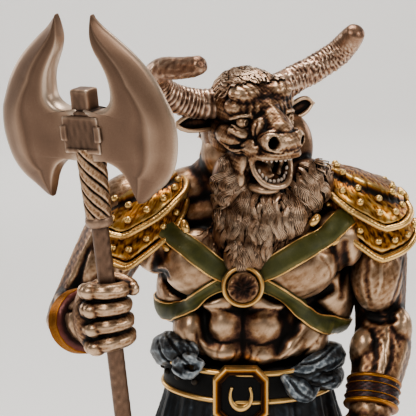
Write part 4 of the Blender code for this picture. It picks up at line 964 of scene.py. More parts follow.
def head_stroke(mesh, path, width, depth, sharp=2.0):
    # A stroke whose x, z path is drawn on the head's own front, so both halves can share it
    local = np.array([IN_HEAD @ Vector(p) for p in coords(mesh)])
    tree = surface(mesh)
    line = []
    for x, y, z in spline(path, max(6, 5 * len(path))):
        spot, _, _, _ = tree.find_nearest(HEAD @ Vector((x, y, z)))
        line.append(IN_HEAD @ spot)
    line = np.array(line)
    out = normals(mesh)
    at = coords(mesh)
    inside = np.where(np.all((local > line.min(axis=0) - width) & (local < line.max(axis=0) + width), axis=1))[0]
    best = np.full(len(inside), 1e9)
    share = np.zeros(len(inside))
    spots = local[inside]
    for k in range(len(line) - 1):
        run = line[k + 1] - line[k]
        t = np.clip(((spots - line[k]) @ run) / max(run @ run, 1e-9), 0, 1)
        gap = np.linalg.norm(spots - line[k] - t[:, None] * run, axis=1)
        closer = gap < best
        best[closer] = gap[closer]
        share[closer] = (k + t[closer]) / (len(line) - 1)
    fade = np.sin(np.pi * np.clip(share * 0.8 + 0.1, 0, 1)) ** 0.5
    at[inside] += out[inside] * (depth * np.clip(1 - (best / width) ** 2, 0, 1) ** sharp * fade)[:, None]
    moved(mesh, at)


def face_dent(mesh, x, y, z, radius, depth, sharp=1.5, tall=1.0):
    # A round pit in the head's frame, pressed in along the surface normal
    local = np.array([IN_HEAD @ Vector(p) for p in coords(mesh)])
    gap = np.sqrt((local[:, 0] - x) ** 2 + (local[:, 1] - y) ** 2 + ((local[:, 2] - z) / tall) ** 2) / radius
    push = depth * np.clip(1 - gap ** 2, 0, 1) ** sharp
    way = np.array(HEAD.to_3x3() @ Vector((0, 1, 0)))
    moved(mesh, coords(mesh) + push[:, None] * way)


for side in (-1, 1):
    face_dent(head.data, 9.4 * side, -12.8, -3.0, 3.0, 1.8)
    near_side = side < 0
    face_dent(head.data, (5.4 if near_side else 6.8) * side, -26.0, -7.8, 2.2 if near_side else 1.7, 4.6 if near_side else 2.6,
              0.8, 1.15)
    # Creases between the rolls, then finer ones slanting up the forehead
    for k in range(4):
        x = 4.1 + 2.1 * k
        head_stroke(head.data, [(x * side, -14 + 0.25 * k * k, -0.4), ((x - 0.2) * side, -14 + 0.25 * k * k, 2.2),
                                ((x - 0.5) * side, -12 + 0.2 * k * k, 5.2)], 0.75, -0.28)
    for k in range(3):
        x = 2.0 + 2.6 * k
        head_stroke(head.data, [(x * side, -13, 5.6 + 0.2 * k), ((x + 0.8) * side, -11.5, 7.4), ((x + 2.0) * side, -9.5, 9.2)],
                    0.9, -0.3)
    head_stroke(head.data, [(1.0 * side, -14.8, 2.6), (2.0 * side, -15, 0.2), (4.4 * side, -14.4, -2.0)], 0.9, -0.5)
    head_stroke(head.data, [(3.0 * side, -13.4, 5.2), (7.4 * side, -12, 6.0), (11 * side, -8.4, 5.6)], 0.6, -0.35)
    # Chevrons on the bridge, a fold down the cheek, a fold over the nostril
    for k in range(7):
        head_stroke(head.data, [(0.2 * side, -16.0 - 1.0 * k, 2.4 - 1.05 * k), (1.9 * side, -16.2 - 1.0 * k, 0.6 - 1.05 * k),
                                (3.6 * side, -15.4 - 0.9 * k, -2.0 - 0.95 * k)], 0.5, -0.15)
    head_stroke(head.data, [(4.4 * side, -15.6, -3.8), (6.4 * side, -16.5, -7.4), (7.2 * side, -18, -10.8)], 0.9, -0.45)
    head_stroke(head.data, [(1.4 * side, -25.4, -4.4), (3.8 * side, -24.8, -3.6), (6.8 * side, -22.4, -4.4),
                            (7.6 * side, -19.4, -7)], 0.8, -0.4)
    head_stroke(head.data, [(7.2 * side, -22.0, -10.6), (4.8 * side, -25.0, -11.3), (2.0 * side, -26.0, -11.3)], 0.6, -0.4)
    for k in range(3):
        head_stroke(head.data, [((6.6 + k) * side, -15, -9.6 - 1.4 * k), ((9.6 + 0.5 * k) * side, -10, -10.6 - 1.6 * k),
                                ((11.4 + 0.3 * k) * side, -5, -10 - 2.2 * k)], 0.6, -0.4)
# The folded brow and the bridge are soft again after the strokes
calmed(head.data, HEAD, (0, -13, 3.2), (14, 8, 7.5), 9)
calmed(head.data, HEAD, (0, -19, -3), (5, 8, 6), 5)
roughened(head.data, 1.3, 0.08, 12)


# %% Eyes and teeth
def studs(name, rows, detail=3):
    # Small ellipsoids given by centre and radii
    graph = bmesh.new()
    for x, y, z, rx, ry, rz, frame_here in rows:
        spot = Matrix.Translation((x, y, z)) @ Matrix.Diagonal((rx, ry, rz, 1.0))
        bmesh.ops.create_icosphere(graph, subdivisions=detail, radius=1.0, matrix=frame_here @ spot)
    mesh = bpy.data.meshes.new(name)
    graph.to_mesh(mesh)
    graph.free()
    return put(name, mesh)


EYE = (9.3, -11.7, -3.0)
eye_rows = []
for side in (-1, 1):
    # The ball, then a raised iris with a pit drilled for the pupil
    eye_rows.append((EYE[0] * side, EYE[1], EYE[2], 2.0, 2.0, 1.9, HEAD))
eyes = studs("eyes", eye_rows, 5)
for side in (-1, 1):
    look = HEAD @ Vector((EYE[0] * side - 0.2 * side + 0.5, EYE[1] - 1.85, EYE[2]))
    away = np.linalg.norm(coords(eyes.data) - np.array(look), axis=1)
    ring = 0.20 * np.exp(-((away - 1.05) / 0.22) ** 2) - 0.5 * np.exp(-(away / 0.45) ** 2)
    moved(eyes.data, coords(eyes.data) + normals(eyes.data) * ring[:, None])
tooth_draw = random.Random(8)
tooth_rows = []
for side in (-1, 1):
    for k in range(5):
        a = 0.14 + 0.24 * k
        long = tooth_draw.uniform(0.7, 1.15) + (0.5 if k == 2 else 0.0)
        wide = tooth_draw.uniform(0.45, 0.6)
        tooth_rows.append((6.8 * math.sin(a) * side, -23.4 + 6.0 * (1 - math.cos(a)), -14.3 + 0.05 * k, wide, wide, long, HEAD))
        tooth_rows.append((6.3 * math.sin(a) * side, -19.9 + 4.2 * (1 - math.cos(a)), -22.6 + 1.1 * k * k / 5, wide, wide,
                           long * 0.85, HEAD))
teeth = studs("teeth", tooth_rows, 2)
# %% [markdown]
# ## Beard, mane and chest hair
# Hair is the busiest carving here. A rounded mass gives the volume, and hundreds of tapering locks
# lie on it. Each lock starts on a ring round the jaws, flows outward and is bent down by its own
# weight with a small random wave, so neighbours cross and leave deep gaps for the wash.

# %% The mass under the hair
BEARD_LUMPS = (
    (8, -14, 161, 14, 8, 9.5), (3, -16.5, 153, 12, 6.5, 12), (-3, -12, 170, 6.4, 8, 12), (23, -10, 170, 10, 8, 9),
    (14, -15, 158, 11, 6.5, 9), (1.5, -20, 146, 7, 4, 8), (2, 6, 186, 15, 12, 18), (2, 12, 172, 16, 9, 16),
    (-4, -5, 188, 8.5, 8, 12), (18, -4, 182, 8, 8, 12), (9, -10, 168, 10, 8, 7),
)
mass_clay = Clay("hair_mass")
for row in BEARD_LUMPS:
    mass_clay.ball(*row)
mass_clay.add(torso.data)
mass = mass_clay.fused(0.9, 3)
hide = surface(mass.data)


# The beard keeps inside this outline: height, left edge and right edge
BEARD_EDGE = np.array(((137, 1.0, 3.0), (150, -6.0, 17.0), (162.6, -10.0, 31.0), (177, -6.5, 31.5), (192, -5.5, 29.0)), float)


def in_beard(x, z):
    left = np.interp(z, BEARD_EDGE[:, 0], BEARD_EDGE[:, 1])
    right = np.interp(z, BEARD_EDGE[:, 0], BEARD_EDGE[:, 2])
    return left < x < right and z > BEARD_EDGE[0, 0]


def ring_locks(count, rows_out, seed, first=9.6, gap=6.5, reach=13.0):
    # x, z paths of locks that start on rings round the mouth
    draw = random.Random(seed)
    paths = []
    for k in range(count):
        share = (k + 0.5) / count
        angle = math.radians(-205 + 212 * share + draw.uniform(-4, 4))
        for row in range(rows_out):
            start = first + gap * row + draw.uniform(-1.2, 1.2)
            x = 11.5 + start * math.cos(angle)
            z = 175.5 + start * math.sin(angle)
            long = reach + 5 * math.sin(math.pi * share) + draw.uniform(-3, 2)
            wave = draw.uniform(0, 6.28)
            curl = draw.uniform(0.3, 0.75)
            path = []
            for s in range(9):
                if not in_beard(x, z):
                    break
                path.append((x, z))
                down = min(1.0, 0.30 + 0.09 * s)
                dx = math.cos(angle) * (1 - down) + curl * math.sin(wave + 1.1 * s)
                dz = math.sin(angle) * (1 - down) - down
                size = math.hypot(dx, dz)
                x += dx / size * long / 8
                z += dz / size * long / 8
            if len(path) > 4:
                paths.append(path)
    return paths


def mane_locks(count, rows_down, seed):
    draw = random.Random(seed)
    paths = []
    for k in range(count):
        for row in range(rows_down):
            x = -16 + 36 * (k + 0.5) / count + draw.uniform(-1.2, 1.2)
            z = 207 - 46 / rows_down * row + draw.uniform(-2, 2)
            wave = draw.uniform(0, 6.28)
            path = []
            for s in range(8):
                path.append((x, z))
                x += 0.75 * math.sin(wave + 1.2 * s) + 0.04 * (x - 2)
                z -= 2.1
            paths.append(path)
    return paths


def lay_locks(clay, tree, paths, radius, lift, side=-1.0, seed=3, jump=7.0):
    draw = random.Random(seed)
    for path in paths:
        thick = radius * draw.uniform(0.75, 1.25)
        high = lift * draw.uniform(0.4, 1.5)
        rows = []
        last = len(path) - 1
        for s, (x, z) in enumerate(path):
            spot, normal = seen(tree, x, z, side)
            if rows and abs(spot.y - rows[-1][1]) > jump:
                break
            t = s / last
            swell = 0.6 + 0.4 * math.sin(math.pi * min(1.0, t + 0.25))
            away = spot + normal * high * (1.0 - 0.4 * t)
            rows.append((*away, thick * swell * (1.0 - 0.8 * t ** 3)))
        if len(rows) > 3:
            clay.strand(spline(rows, 3 * len(rows)))


def lay_bundles(clay, tree, paths, seed, jump=5.0):
    # A lock is a bundle of hairs: five strands side by side that close to one point at the tip
    draw = random.Random(seed)
    for path in paths:
        mid = spline(path, 11)
        ahead = np.gradient(mid, axis=0)
        ahead /= np.linalg.norm(ahead, axis=1)[:, None]
        wide = draw.uniform(0.65, 1.15)
        high = draw.uniform(0.0, 1.5)
        for share in (-1.0, -0.5, 0.0, 0.5, 1.0):
            rows = []
            for s in range(11):
                t = s / 10
                aside = share * wide * math.sin(math.pi * (0.12 + 0.86 * t)) ** 0.7
                spot, normal = seen(tree, mid[s, 0] - ahead[s, 1] * aside, mid[s, 1] + ahead[s, 0] * aside)
                if rows and abs(spot.y - rows[-1][1]) > jump:
                    break
                lift = high * math.sin(math.pi * (0.1 + 0.75 * t)) + 0.7 * math.sqrt(1 - 0.8 * share * share) * (1 - 0.5 * t)
                rows.append((*(spot + normal * lift), 0.29 * math.sin(math.pi * (0.15 + 0.78 * t)) ** 0.6))
            if len(rows) > 4:
                clay.strand(rows)


beard_paths = ring_locks(38, 8, 11, first=9.0, gap=3.0, reach=12.5)
beard_clay = Clay("beard")
for row in BEARD_LUMPS[:6] + BEARD_LUMPS[8:]:
    beard_clay.ball(*row)
lay_locks(beard_clay, hide, beard_paths[::2], 0.95, 0.2)
beard = beard_clay.fused(0.54, 1)
lock_clay = Clay("locks")
lock_clay.line.bevel_resolution = 0
lay_bundles(lock_clay, hide, beard_paths, 9)
locks = put("beard_locks", lock_clay.rolls())

mane_clay = Clay("mane")
for row in ((2, 6, 186, 15, 12, 18), (2, 12, 172, 16, 9, 16), (-4, -5, 188, 8, 7.5, 12), (18, -4, 182, 7.5, 7.5, 12)):
    mane_clay.ball(*row)
lay_locks(mane_clay, hide, mane_locks(9, 5, 5), 1.9, 0.8, 1.0)
lay_locks(mane_clay, hide, mane_locks(20, 10, 15), 0.95, 1.4, 1.0, seed=14)
mane = mane_clay.fused(0.68, 1)

# %% Tufts pressed flat on the crown
crown_clay = Clay("crown_tufts")
crown_clay.line.bevel_resolution = 1
crown_skin = surface(head.data)
crown_down = (HEAD.to_3x3() @ Vector((0, 0, -1))).normalized()
crown_draw = random.Random(77)
for k in range(420):
    # Each tuft starts near the brow line and sweeps back between the horns
    x = crown_draw.uniform(-10.5, 10.5)
    y = crown_draw.uniform(-9.5, 7.0)
    sway = crown_draw.uniform(-0.5, 0.5) + 0.05 * x
    phase = crown_draw.uniform(0, 6.28)
    high = crown_draw.uniform(0.1, 0.9)
    rows = []
    for s in range(9):
        t = s / 8
        spot, normal, _, _ = crown_skin.ray_cast(HEAD @ Vector((x, y, 30)), crown_down)
        if spot is None or (rows and (spot - Vector(rows[-1][:3])).length > 2.5):
            break
        rows.append((*(spot + normal * high * (1 - 0.6 * t)), 0.46 * (1 - 0.75 * t * t)))
        x += (sway + 0.6 * math.sin(phase + 0.9 * s)) * 0.5
        y += 0.95
    if len(rows) > 5:
        crown_clay.strand(rows)
crown = put("crown_tufts", crown_clay.rolls())

# %% Small curls of chest hair, thin wires of clay pressed on the skin
curl_clay = Clay("chest_curls")
CURL_DRAW = random.Random(41)
for k in range(150):
    z = CURL_DRAW.uniform(138, 160)
    # The hair is a wedge between the breast muscles, wide under the beard and narrow at the boss
    x = 1.4 + CURL_DRAW.uniform(-1, 1) * (3.5 + 0.55 * (z - 138))
    turn = -1.57 + CURL_DRAW.uniform(-0.8, 0.8)
    bend = CURL_DRAW.choice((-1, 1)) * CURL_DRAW.uniform(0.25, 0.5)
    rows = []
    for s in range(8):
        spot, normal = seen(torso_skin, x, z)
        if rows and abs(spot.y - rows[-1][1]) > 2.0:
            break
        away = spot + normal * 0.10
        rows.append((*away, 0.30 * (1.0 - 0.7 * (s / 7) ** 2)))
        x += 0.8 * math.cos(turn)
        z += 0.8 * math.sin(turn)
        turn += bend * (1 if s % 4 < 2 else -1)
    if len(rows) > 4:
        curl_clay.strand(spline(rows, 2 * len(rows)))
curls = put("chest_curls", curl_clay.rolls())

# %% [markdown]
# ## Harness
# Two leather belts cross under a round boss. A strap is a band laid on the body: its centre line is
# pulled to the nearest skin, and its edges follow the muscles. The gold piping is a thin tube that
# rides on each edge, so both come from one centre line.

# %% Bands that lie on the body


def laid_line(tree, path, steps):
    # Centre points and outward directions of a band
    spots = []
    ups = []
    for p in spline(path, steps):
        spot, normal, _, _ = tree.find_nearest(Vector(p))
        spots.append(spot)
        ups.append(normal)
    spots = np.array(spots)
    ups = np.array(ups)
    for _ in range(8):
        spots[1:-1] = (spots[:-2] + 2 * spots[1:-1] + spots[2:]) / 4
        ups[1:-1] = (ups[:-2] + 2 * ups[1:-1] + ups[2:]) / 4
    ups /= np.linalg.norm(ups, axis=1)[:, None]
    across = np.cross(ups, np.gradient(spots, axis=0))
    across /= np.linalg.norm(across, axis=1)[:, None]
    return spots, ups, across


def band_rows(tree, path, half, shares, steps):
    # For each share of the half width, a smoothed row of points on the body
    spots, ups, across = laid_line(tree, path, steps)
    rows = np.zeros((steps, len(shares), 3))
    for j, share in enumerate(shares):
        for k in range(steps):
            q = spots[k] + across[k] * share * half
            near, _, _, _ = tree.find_nearest(Vector(q))
            rows[k, j] = q + ups[k] * float((np.array(near) - q) @ ups[k])
    # A strap is taut: it is drawn straight again and again, and pushed out where it would cut the skin
    for _ in range(5):
        for _ in range(12):
            rows[1:-1] = (rows[:-2] + 2 * rows[1:-1] + rows[2:]) / 4
        for row in rows.reshape(-1, 3):
            near, normal, _, _ = tree.find_nearest(Vector(row))
            depth = (Vector(row) - near).dot(normal)
            if depth < 0:
                row -= np.array(normal) * depth
    return rows, ups, across


def strap_mesh(tree, path, half, rise, steps, name):
    shares = (-1.0, -0.93, -0.5, 0.0, 0.5, 0.93, 1.0)
    crown = (0.35, 1.0, 1.12, 1.18, 1.12, 1.0, 0.35)
    rows, ups, _ = band_rows(tree, path, half, shares, steps)
    rings = []
    for k in range(steps):
        top = [rows[k, j] + ups[k] * rise * crown[j] for j in range(len(shares))]
        low = [rows[k, j] - ups[k] * 1.6 for j in range(len(shares))]
        rings.append(top + low[::-1])
    return ring_loft(rings, name), rows, ups


def tube(points, radius, name, sides=8, closed=False):
    pts = np.asarray(points, float)
    ahead = np.gradient(pts, axis=0)
    rings = []
    up = Vector((0.3, 0.2, 1.0))
    for k in range(len(pts)):
        way = Vector(ahead[k]).normalized()
        across = way.cross(up)
        if across.length < 1e-3:
            across = way.cross(Vector((1, 0, 0)))
        across.normalize()
        up = across.cross(way).normalized()
        r = radius[k] if hasattr(radius, "__len__") else radius
        rings.append([Vector(pts[k]) + across * r * math.cos(a) + up * r * math.sin(a)
                      for a in np.linspace(0, 2 * math.pi, sides, endpoint=False)])
    return ring_loft(rings, name, closed)


STRAP_HALF = 3.5
STRAPS = (
    ((-30, -12, 157), (-22.5, -17, 152.6), (-18.7, -20, 150.3), (-9, -24, 143.4), (1.4, -26, 136.2),
     (12, -23, 129.6), (22, -19, 124.4), (31, -11, 120.6), (37, 0, 118.4), (36, 8, 119), (27, 18, 125), (4, 20, 138),
     (-14, 18, 150), (-24, 12, 158)),
    ((38, -10, 158), (31, -17, 153.5), (27.7, -19, 151.4), (14, -24, 144.2), (1.4, -26, 136.2),
     (-8, -23, 131.0), (-16, -18, 127.2), (-23, -8, 125.0), (-25, 2, 125), (-22, 12, 128), (-12, 18, 132), (4, 20, 140),
     (22, 18, 151), (32, 12, 158)),
)
strap_meshes = []
edge_meshes = []
rivet_rows = []
flat_frame = Matrix.Identity(4)
for path in STRAPS:
    mesh, rows, ups = strap_mesh(torso_skin, path, STRAP_HALF, 1.25, 160, "strap")
    strap_meshes.append(mesh)
    for j in (0, -1):
        edge_meshes.append(tube([rows[k, j] + ups[k] * 0.9 for k in range(len(rows))], 0.34, "edge"))
    for k in (23, 43, 58):
        for j in (1,):
            spot = rows[k, j] * 0.6 + rows[k, 3] * 0.4 + ups[k] * 1.35
            rivet_rows.append((*spot, 0.55, 0.55, 0.55, flat_frame))
straps = whole_of("straps", strap_meshes)
strap_edges = whole_of("strap_edges", edge_meshes)
strap_rivets = studs("strap_rivets", rivet_rows)

# %% Boss, ring and clasps
BOSS_AT = (1.4, 136.2)


def turned(name, profile, centre, count=48, closed=False):
    # A turned form whose axis runs toward the viewer; each profile row is depth and radius
    x, z = centre
    rings = [[(x + r * math.cos(a), depth, z + r * math.sin(a)) for a in np.linspace(0, 2 * math.pi, count, endpoint=False)]
             for depth, r in profile]
    return ring_loft(rings, name, closed)


boss = put("boss", turned("boss", ((-20.0, 5.2), (-26.2, 5.3), (-26.9, 5.0), (-27.4, 4.4), (-27.8, 3.3), (-28.0, 1.9),
                                   (-28.1, 0.4)), BOSS_AT, 96))
boss_sub = boss.modifiers.new("finer", "SUBSURF")
boss_sub.levels = 1
boss_sub.render_levels = 1
applied(boss)
roughened(boss.data, 1.8, 0.10, 51)
# Wrinkles run out from the middle of the boss
at = coords(boss.data)
round_it = np.arctan2(at[:, 2] - BOSS_AT[1], at[:, 0] - BOSS_AT[0])
out_from = np.hypot(at[:, 2] - BOSS_AT[1], at[:, 0] - BOSS_AT[0])
ray = np.sin(9 * round_it + 1.3 * np.sin(2 * round_it)) * np.clip(out_from / 5, 0, 1) * np.clip((5.2 - out_from) * 2, 0, 1)
at[:, 1] += 0.22 * ray
moved(boss.data, at)
print("skin behind the boss:", [round(seen(torso_skin, x, BOSS_AT[1])[0].y, 1) for x in (-4, 1.4, 7)])
ring_profile = [(-20.0, 7.3), (-24.0, 7.3), (-24.6, 7.15), (-24.9, 6.8), (-24.9, 6.2), (-24.6, 5.8), (-24.2, 5.6),
                (-20.0, 5.6)]
boss_ring = put("boss_ring", turned("boss_ring", ring_profile, BOSS_AT, 64, True))
CLASPS = (
    ((-19.0, -20.2, 158.4), (-17.6, -21.6, 154.4)), ((-27.0, -15.0, 150.6), (-23.4, -17.0, 147.4)),
    ((24.4, -19.2, 156.6), (27.4, -18.2, 160.0)), ((31.4, -16.6, 149.6), (35.4, -13.6, 152.6)),
)
clasp_meshes = []
for a, b in CLASPS:
    pts = spline([a, tuple((np.array(a) + np.array(b)) / 2 + np.array((0, -0.9, 0))), b], 14)
    swell = [1.0 + 0.45 * math.sin(math.pi * k / 13) for k in range(14)]
    swell[0] = swell[-1] = 0.5
    clasp_meshes.append(tube(pts, swell, "clasp", 16))
clasps = whole_of("clasps", clasp_meshes)

# %% [markdown]
# ## Belt, buckle, cloth and kilt
# The belt is an ellipse that dips in front. It is lofted from one cross-section carried round the
# waist, and the piping repeats its path. The buckle is a cut-cornered frame with a plain pair of
# horns on a black plate, a common warrior's ornament.

# %% Belt and its piping
BELT_HEIGHT = 10.4


def belt_at(a, proud, rise=0.0):
    # A point on the belt's outer face at this turn, with the direction it faces
    dip = (0.5 + 0.5 * math.cos(a)) ** 1.5
    rx = 28.8 + proud
    ry = 19.4 + proud
    out = Vector((math.sin(a) / rx, -math.cos(a) / ry, 0)).normalized()
    return Vector((4 + rx * math.sin(a), 1 - ry * math.cos(a), 106.0 - 6.0 * dip + rise)), out


turns = np.linspace(0, 2 * math.pi, 160, endpoint=False)
rings = []
for a in turns:
    ring = []
    for rise, depth in ((4.9, 0.25), (4.4, 0.0), (0.0, 0.15), (-4.4, 0.0), (-4.9, 0.25), (-4.9, 4.5), (4.9, 4.5)):
        spot, out = belt_at(a, 1.4, rise)
        ring.append(spot - out * depth)
    rings.append(ring)
belt = put("belt", ring_loft(rings, "belt", True))
piping_meshes = []
for up in (-1, 1):
    rings = []
    for a in turns:
        spot, out = belt_at(a, 1.4, up * (BELT_HEIGHT / 2 - 0.3))
        rings.append([spot + out * 1.0 * math.cos(b) + Vector((0, 0, 1.0)) * math.sin(b)
                      for b in np.linspace(0, 2 * math.pi, 10, endpoint=False)])
    piping_meshes.append(ring_loft(rings, "piping", True))
piping = whole_of("belt_piping", piping_meshes)
stud_rows = []
for k in range(22):
    a = math.radians(-162 + 360 / 22 * (k + 0.5))
    spot, out = belt_at(a, 1.5, 0.4)
    if abs(spot.x - 0.8) > 11.5 or spot.y > 0:
        stud_rows.append((*spot, 1.15, 1.15, 1.15, flat_frame))
belt_studs = studs("belt_studs", stud_rows)

# %% Buckle
BUCKLE_AT = (0.8, -20.6, 97.4)


def octagon(wide, tall, cut):
    return [(-wide, -tall + cut), (-wide + cut, -tall), (wide - cut, -tall), (wide, -tall + cut),
            (wide, tall - cut), (wide - cut, tall), (-wide + cut, tall), (-wide, tall - cut)]


def buckle_ring(outline, front):
    cx, cy, cz = BUCKLE_AT
    return [(cx + u, cy + front, cz + v) for u, v in outline]


frame_rings = [buckle_ring(octagon(*o), f) for o, f in (
    ((9.6, 10.2, 4.0), 4.0), ((9.6, 10.2, 4.0), -0.9), ((9.2, 9.8, 3.85), -1.45), ((8.9, 9.5, 3.7), -1.6),
    ((7.6, 8.2, 3.2), -1.6), ((7.2, 7.8, 3.05), -1.45), ((6.8, 7.4, 2.9), -1.0), ((6.8, 7.4, 2.9), 4.0))]
buckle_frame = put("buckle_frame", ring_loft(frame_rings, "buckle_frame", True))
bevel = buckle_frame.modifiers.new("soft", "BEVEL")
bevel.width = 0.25
bevel.segments = 2
applied(buckle_frame)
buckle_plate = put("buckle_plate", ring_loft([buckle_ring(octagon(7.2, 7.8, 3.0), f) for f in (3.4, 0.2)], "plate"))
cut_plate = bmesh.new()
cut_plate.from_mesh(buckle_plate.data)
bmesh.ops.subdivide_edges(cut_plate, edges=cut_plate.edges[:], cuts=6, use_grid_fill=True)
cut_plate.to_mesh(buckle_plate.data)
cut_plate.free()
horn_rings = []
for k in range(33):
    a = math.radians(-215 + 250 * k / 32)
    thick = max(0.5, 1.15 * (1 - abs(k - 16) / 22))
    cx, cy, cz = BUCKLE_AT
    horn_rings.append([(cx + (3.7 + thick * u) * math.cos(a) * (1.0 if abs(k - 16) > 6 else 1.0), cy + y,
                        cz + 0.4 + (4.7 + thick * u) * math.sin(a))
                       for u, y in ((-1, 1.2), (-1, -0.3), (-0.7, -0.65), (0.7, -0.65), (1, -0.3), (1, 1.2))])
buckle_horns = put("buckle_horns", ring_loft(horn_rings, "buckle_horns"))
for item in (buckle_frame, buckle_horns):
    roughened(item.data, 1.2, 0.05, 61)

# %% Cloth over the hips, and the kilt
cloth_clay = Clay("hip_cloth")
cloth_clay.limb([(-17, -13, 112, 3.5), (-22, -8, 112, 5.8), (-24.5, 0, 110, 6.6), (-24, 9, 108, 5.4), (-16, 16, 106, 3.5)])
cloth_clay.limb([(-13, -19, 108.5, 1.5), (-17, -17.5, 110, 2.4), (-21, -14, 106.5, 2.6), (-17, -17.5, 104.5, 2.0),
                 (-13.5, -19, 107, 1.3)], 30)
cloth_clay.limb([(20, -16, 104, 3.0), (27, -12, 107, 4.2), (33, -3, 108, 5.2), (31, 8, 107, 4.8), (22, 15, 106, 3.4)])
cloth_clay.limb([(16, -19, 103.5, 1.6), (20, -19, 100, 4.0), (24, -16, 97.5, 3.2), (27, -14, 99, 1.4)], 20)
cloth_clay.limb([(24, -15, 103, 2.0), (32, -8, 100, 3.2), (35, 2, 101, 3.0), (33, 10, 103, 1.6)], 20)
hip_cloth = cloth_clay.fused(0.5, 3)
carve(hip_cloth.data, (
    (((-28, 114), (-26, 109), (-20, 105)), 1.2, -0.8), (((-25, 117), (-21, 112), (-17, 108)), 1.0, -0.7),
    (((-22, 119), (-17, 115), (-13, 110)), 0.9, -0.5), (((-19, 108), (-16.5, 106.5), (-14, 107)), 1.0, -0.9),
    (((19, 105), (24, 104), (30, 106)), 1.0, -0.9), (((22, 108), (27, 109), (33, 112)), 1.0, -0.8),
    (((18, 103), (21, 99), (25, 96)), 1.0, -0.7), (((24, 102), (28, 100), (34, 101)), 0.9, -0.7),
    (((27, 106), (31, 104), (37, 106)), 0.9, -0.6),
))
roughened(hip_cloth.data, 3.0, 0.15, 71)


def kilt_ring(t, segments, pleats=15, swell=0.0):
    ring = []
    for j in range(segments):
        a = 2 * math.pi * j / segments
        wave = math.sin(pleats * a + 0.7 * math.sin(3 * a))
        fold = 2.3 * t ** 0.8 * (abs(wave) ** 0.7 * (1 if wave > 0 else -1))
        fine_fold = 0.35 * t * math.sin(4 * pleats * a + 2 * math.sin(5 * a))
        rx = 28.4 + 9.5 * t ** 1.1 + fold + fine_fold + swell
        ry = 18.6 + 8.5 * t ** 1.1 + fold + fine_fold + swell
        hem = 2.2 * math.sin(2 * a + 0.6) + 1.2 * math.sin(5 * a)
        ring.append((4 + rx * math.cos(a), 1 + ry * math.sin(a), 101 - 38 * t + hem * t))
    return ring


KILT_SEGMENTS = 480
rings = [kilt_ring(k / 40, KILT_SEGMENTS) for k in range(41)]
for inset, up in ((0.9, -0.3), (1.6, 0.3), (2.4, 3.0), (5.5, 7.0)):
    ring = []
    for x, y, z in rings[40]:
        away = math.hypot(x - 4, y - 1)
        pull = 1 - inset / away
        ring.append((4 + (x - 4) * pull, 1 + (y - 1) * pull, z + up))
    rings.append(ring)
kilt = put("kilt", ring_loft(rings, "kilt"))
roughened(kilt.data, 4.0, 0.18, 72)
hem_points = []
for x, y, z in kilt_ring(0.985, KILT_SEGMENTS, swell=0.25):
    hem_points.append((x, y, z))
hem = put("kilt_hem", tube(hem_points, 0.75, "kilt_hem", 8, True))

# %% [markdown]
# ## Pauldrons and bracers
# Each shoulder carries two shield-shaped plates, one over the other, with a rolled rim, a dark
# groove inside the rim and rows of rivets. A plate is part of a bell: rings of points run from the
# crown to an edge line that drops to a point in front.

# %% Pauldron plates
PLATE_SLOPE = 0.4
EDGE_KNOTS = {
    "lower": ((0, 0.85), (40, 1.45), (76, 1.95), (84, 1.95), (120, 1.68), (135, 1.55), (150, 1.3), (180, 0.8)),
    "upper": ((0, 0.42), (40, 0.8), (74, 1.22), (82, 1.22), (110, 1.12), (133, 0.95), (150, 0.85), (180, 0.6)),
}
SHOULDERS = (((-34.5, -3.0, 156.5), -1, (16.0, 16.0, 16.0, 12.0)), ((45.0, 3.0, 158.5), 1, (16.6, 17.0, 16.5, 11.5)))


def plate_edge(a, tier):
    knots = np.array(EDGE_KNOTS[tier], float)
    return float(np.interp(abs(a), knots[:, 0], knots[:, 1]))


def bell_point(centre, side, a, t, lift, size):
    out, inward, deep, high = size
    turn = math.radians(a)
    if t <= 1.0:
        r = math.sin(t * math.pi / 2)
        z = high * math.cos(t * math.pi / 2)
    else:
        r = 1.0 + 0.03 * (t - 1.0)
        z = -15.0 * (t - 1.0)
    reach = out if math.cos(turn) > 0 else inward
    x = (reach + lift) * r * math.cos(turn)
    y = (deep + lift) * r * math.sin(turn)
    return np.array((centre[0] + side * x, centre[1] + y,
                     centre[2] + z - PLATE_SLOPE * x + lift * (1 if t < 0.5 else 0.4)))


plate_meshes = []
rim_meshes = []
plate_studs = []
groove_meshes = []
for centre, side, size in SHOULDERS:
    for tier, lift in (("lower", 0.8), ("upper", 2.8)):
        angles = np.linspace(-180, 180, 145)[:-1]
        rings = []
        for share, extra in ([(0.06 + 0.80 * k / 22, 0.0) for k in range(23)]
                             + [(0.872, -0.25), (0.885, -0.55), (0.90, -0.55), (0.91, 0.0), (0.97, 0.1), (1.0, 0.0)]):
            rings.append([bell_point(centre, side, a, share * plate_edge(a, tier), lift + extra, size) for a in angles])
        edge_ring = rings[-1]
        core = np.array(centre, float)
        for pull, sink in ((0.93, 0.0), (0.5, 0.5), (0.06, 1.0)):
            inner = []
            for p in edge_ring:
                spot = core + (np.array(p) - core) * pull
                spot[2] = p[2] + (core[2] + 1.0 - p[2]) * sink
                inner.append(spot)
            rings.append(inner)
        plate_meshes.append(ring_loft(rings, "plate"))
        # The rim is a rope: its radius ripples as it runs round the edge
        rim = [bell_point(centre, side, a, 0.965 * plate_edge(a, tier), lift + 0.45, size)
               for a in np.linspace(-180, 180, 361)[:-1]]
        rim_meshes.append(tube(rim, [1.12 + 0.05 * math.sin(1.9 * k) for k in range(360)], "rim", 10, True))
        for row, share in enumerate((0.72, 0.50) if tier == "upper" else (0.76,)):
            count = 17 - 4 * row
            for k in range(count):
                a = -170 + 340 * (k + 0.5) / count
                spot = bell_point(centre, side, a, share * plate_edge(a, tier), lift + 0.15, size)
                plate_studs.append((*spot, 1.35, 1.35, 1.35, flat_frame))
plates = whole_of("pauldron_plates", plate_meshes)
roughened(plates.data, 2.2, 0.16, 81, 3)
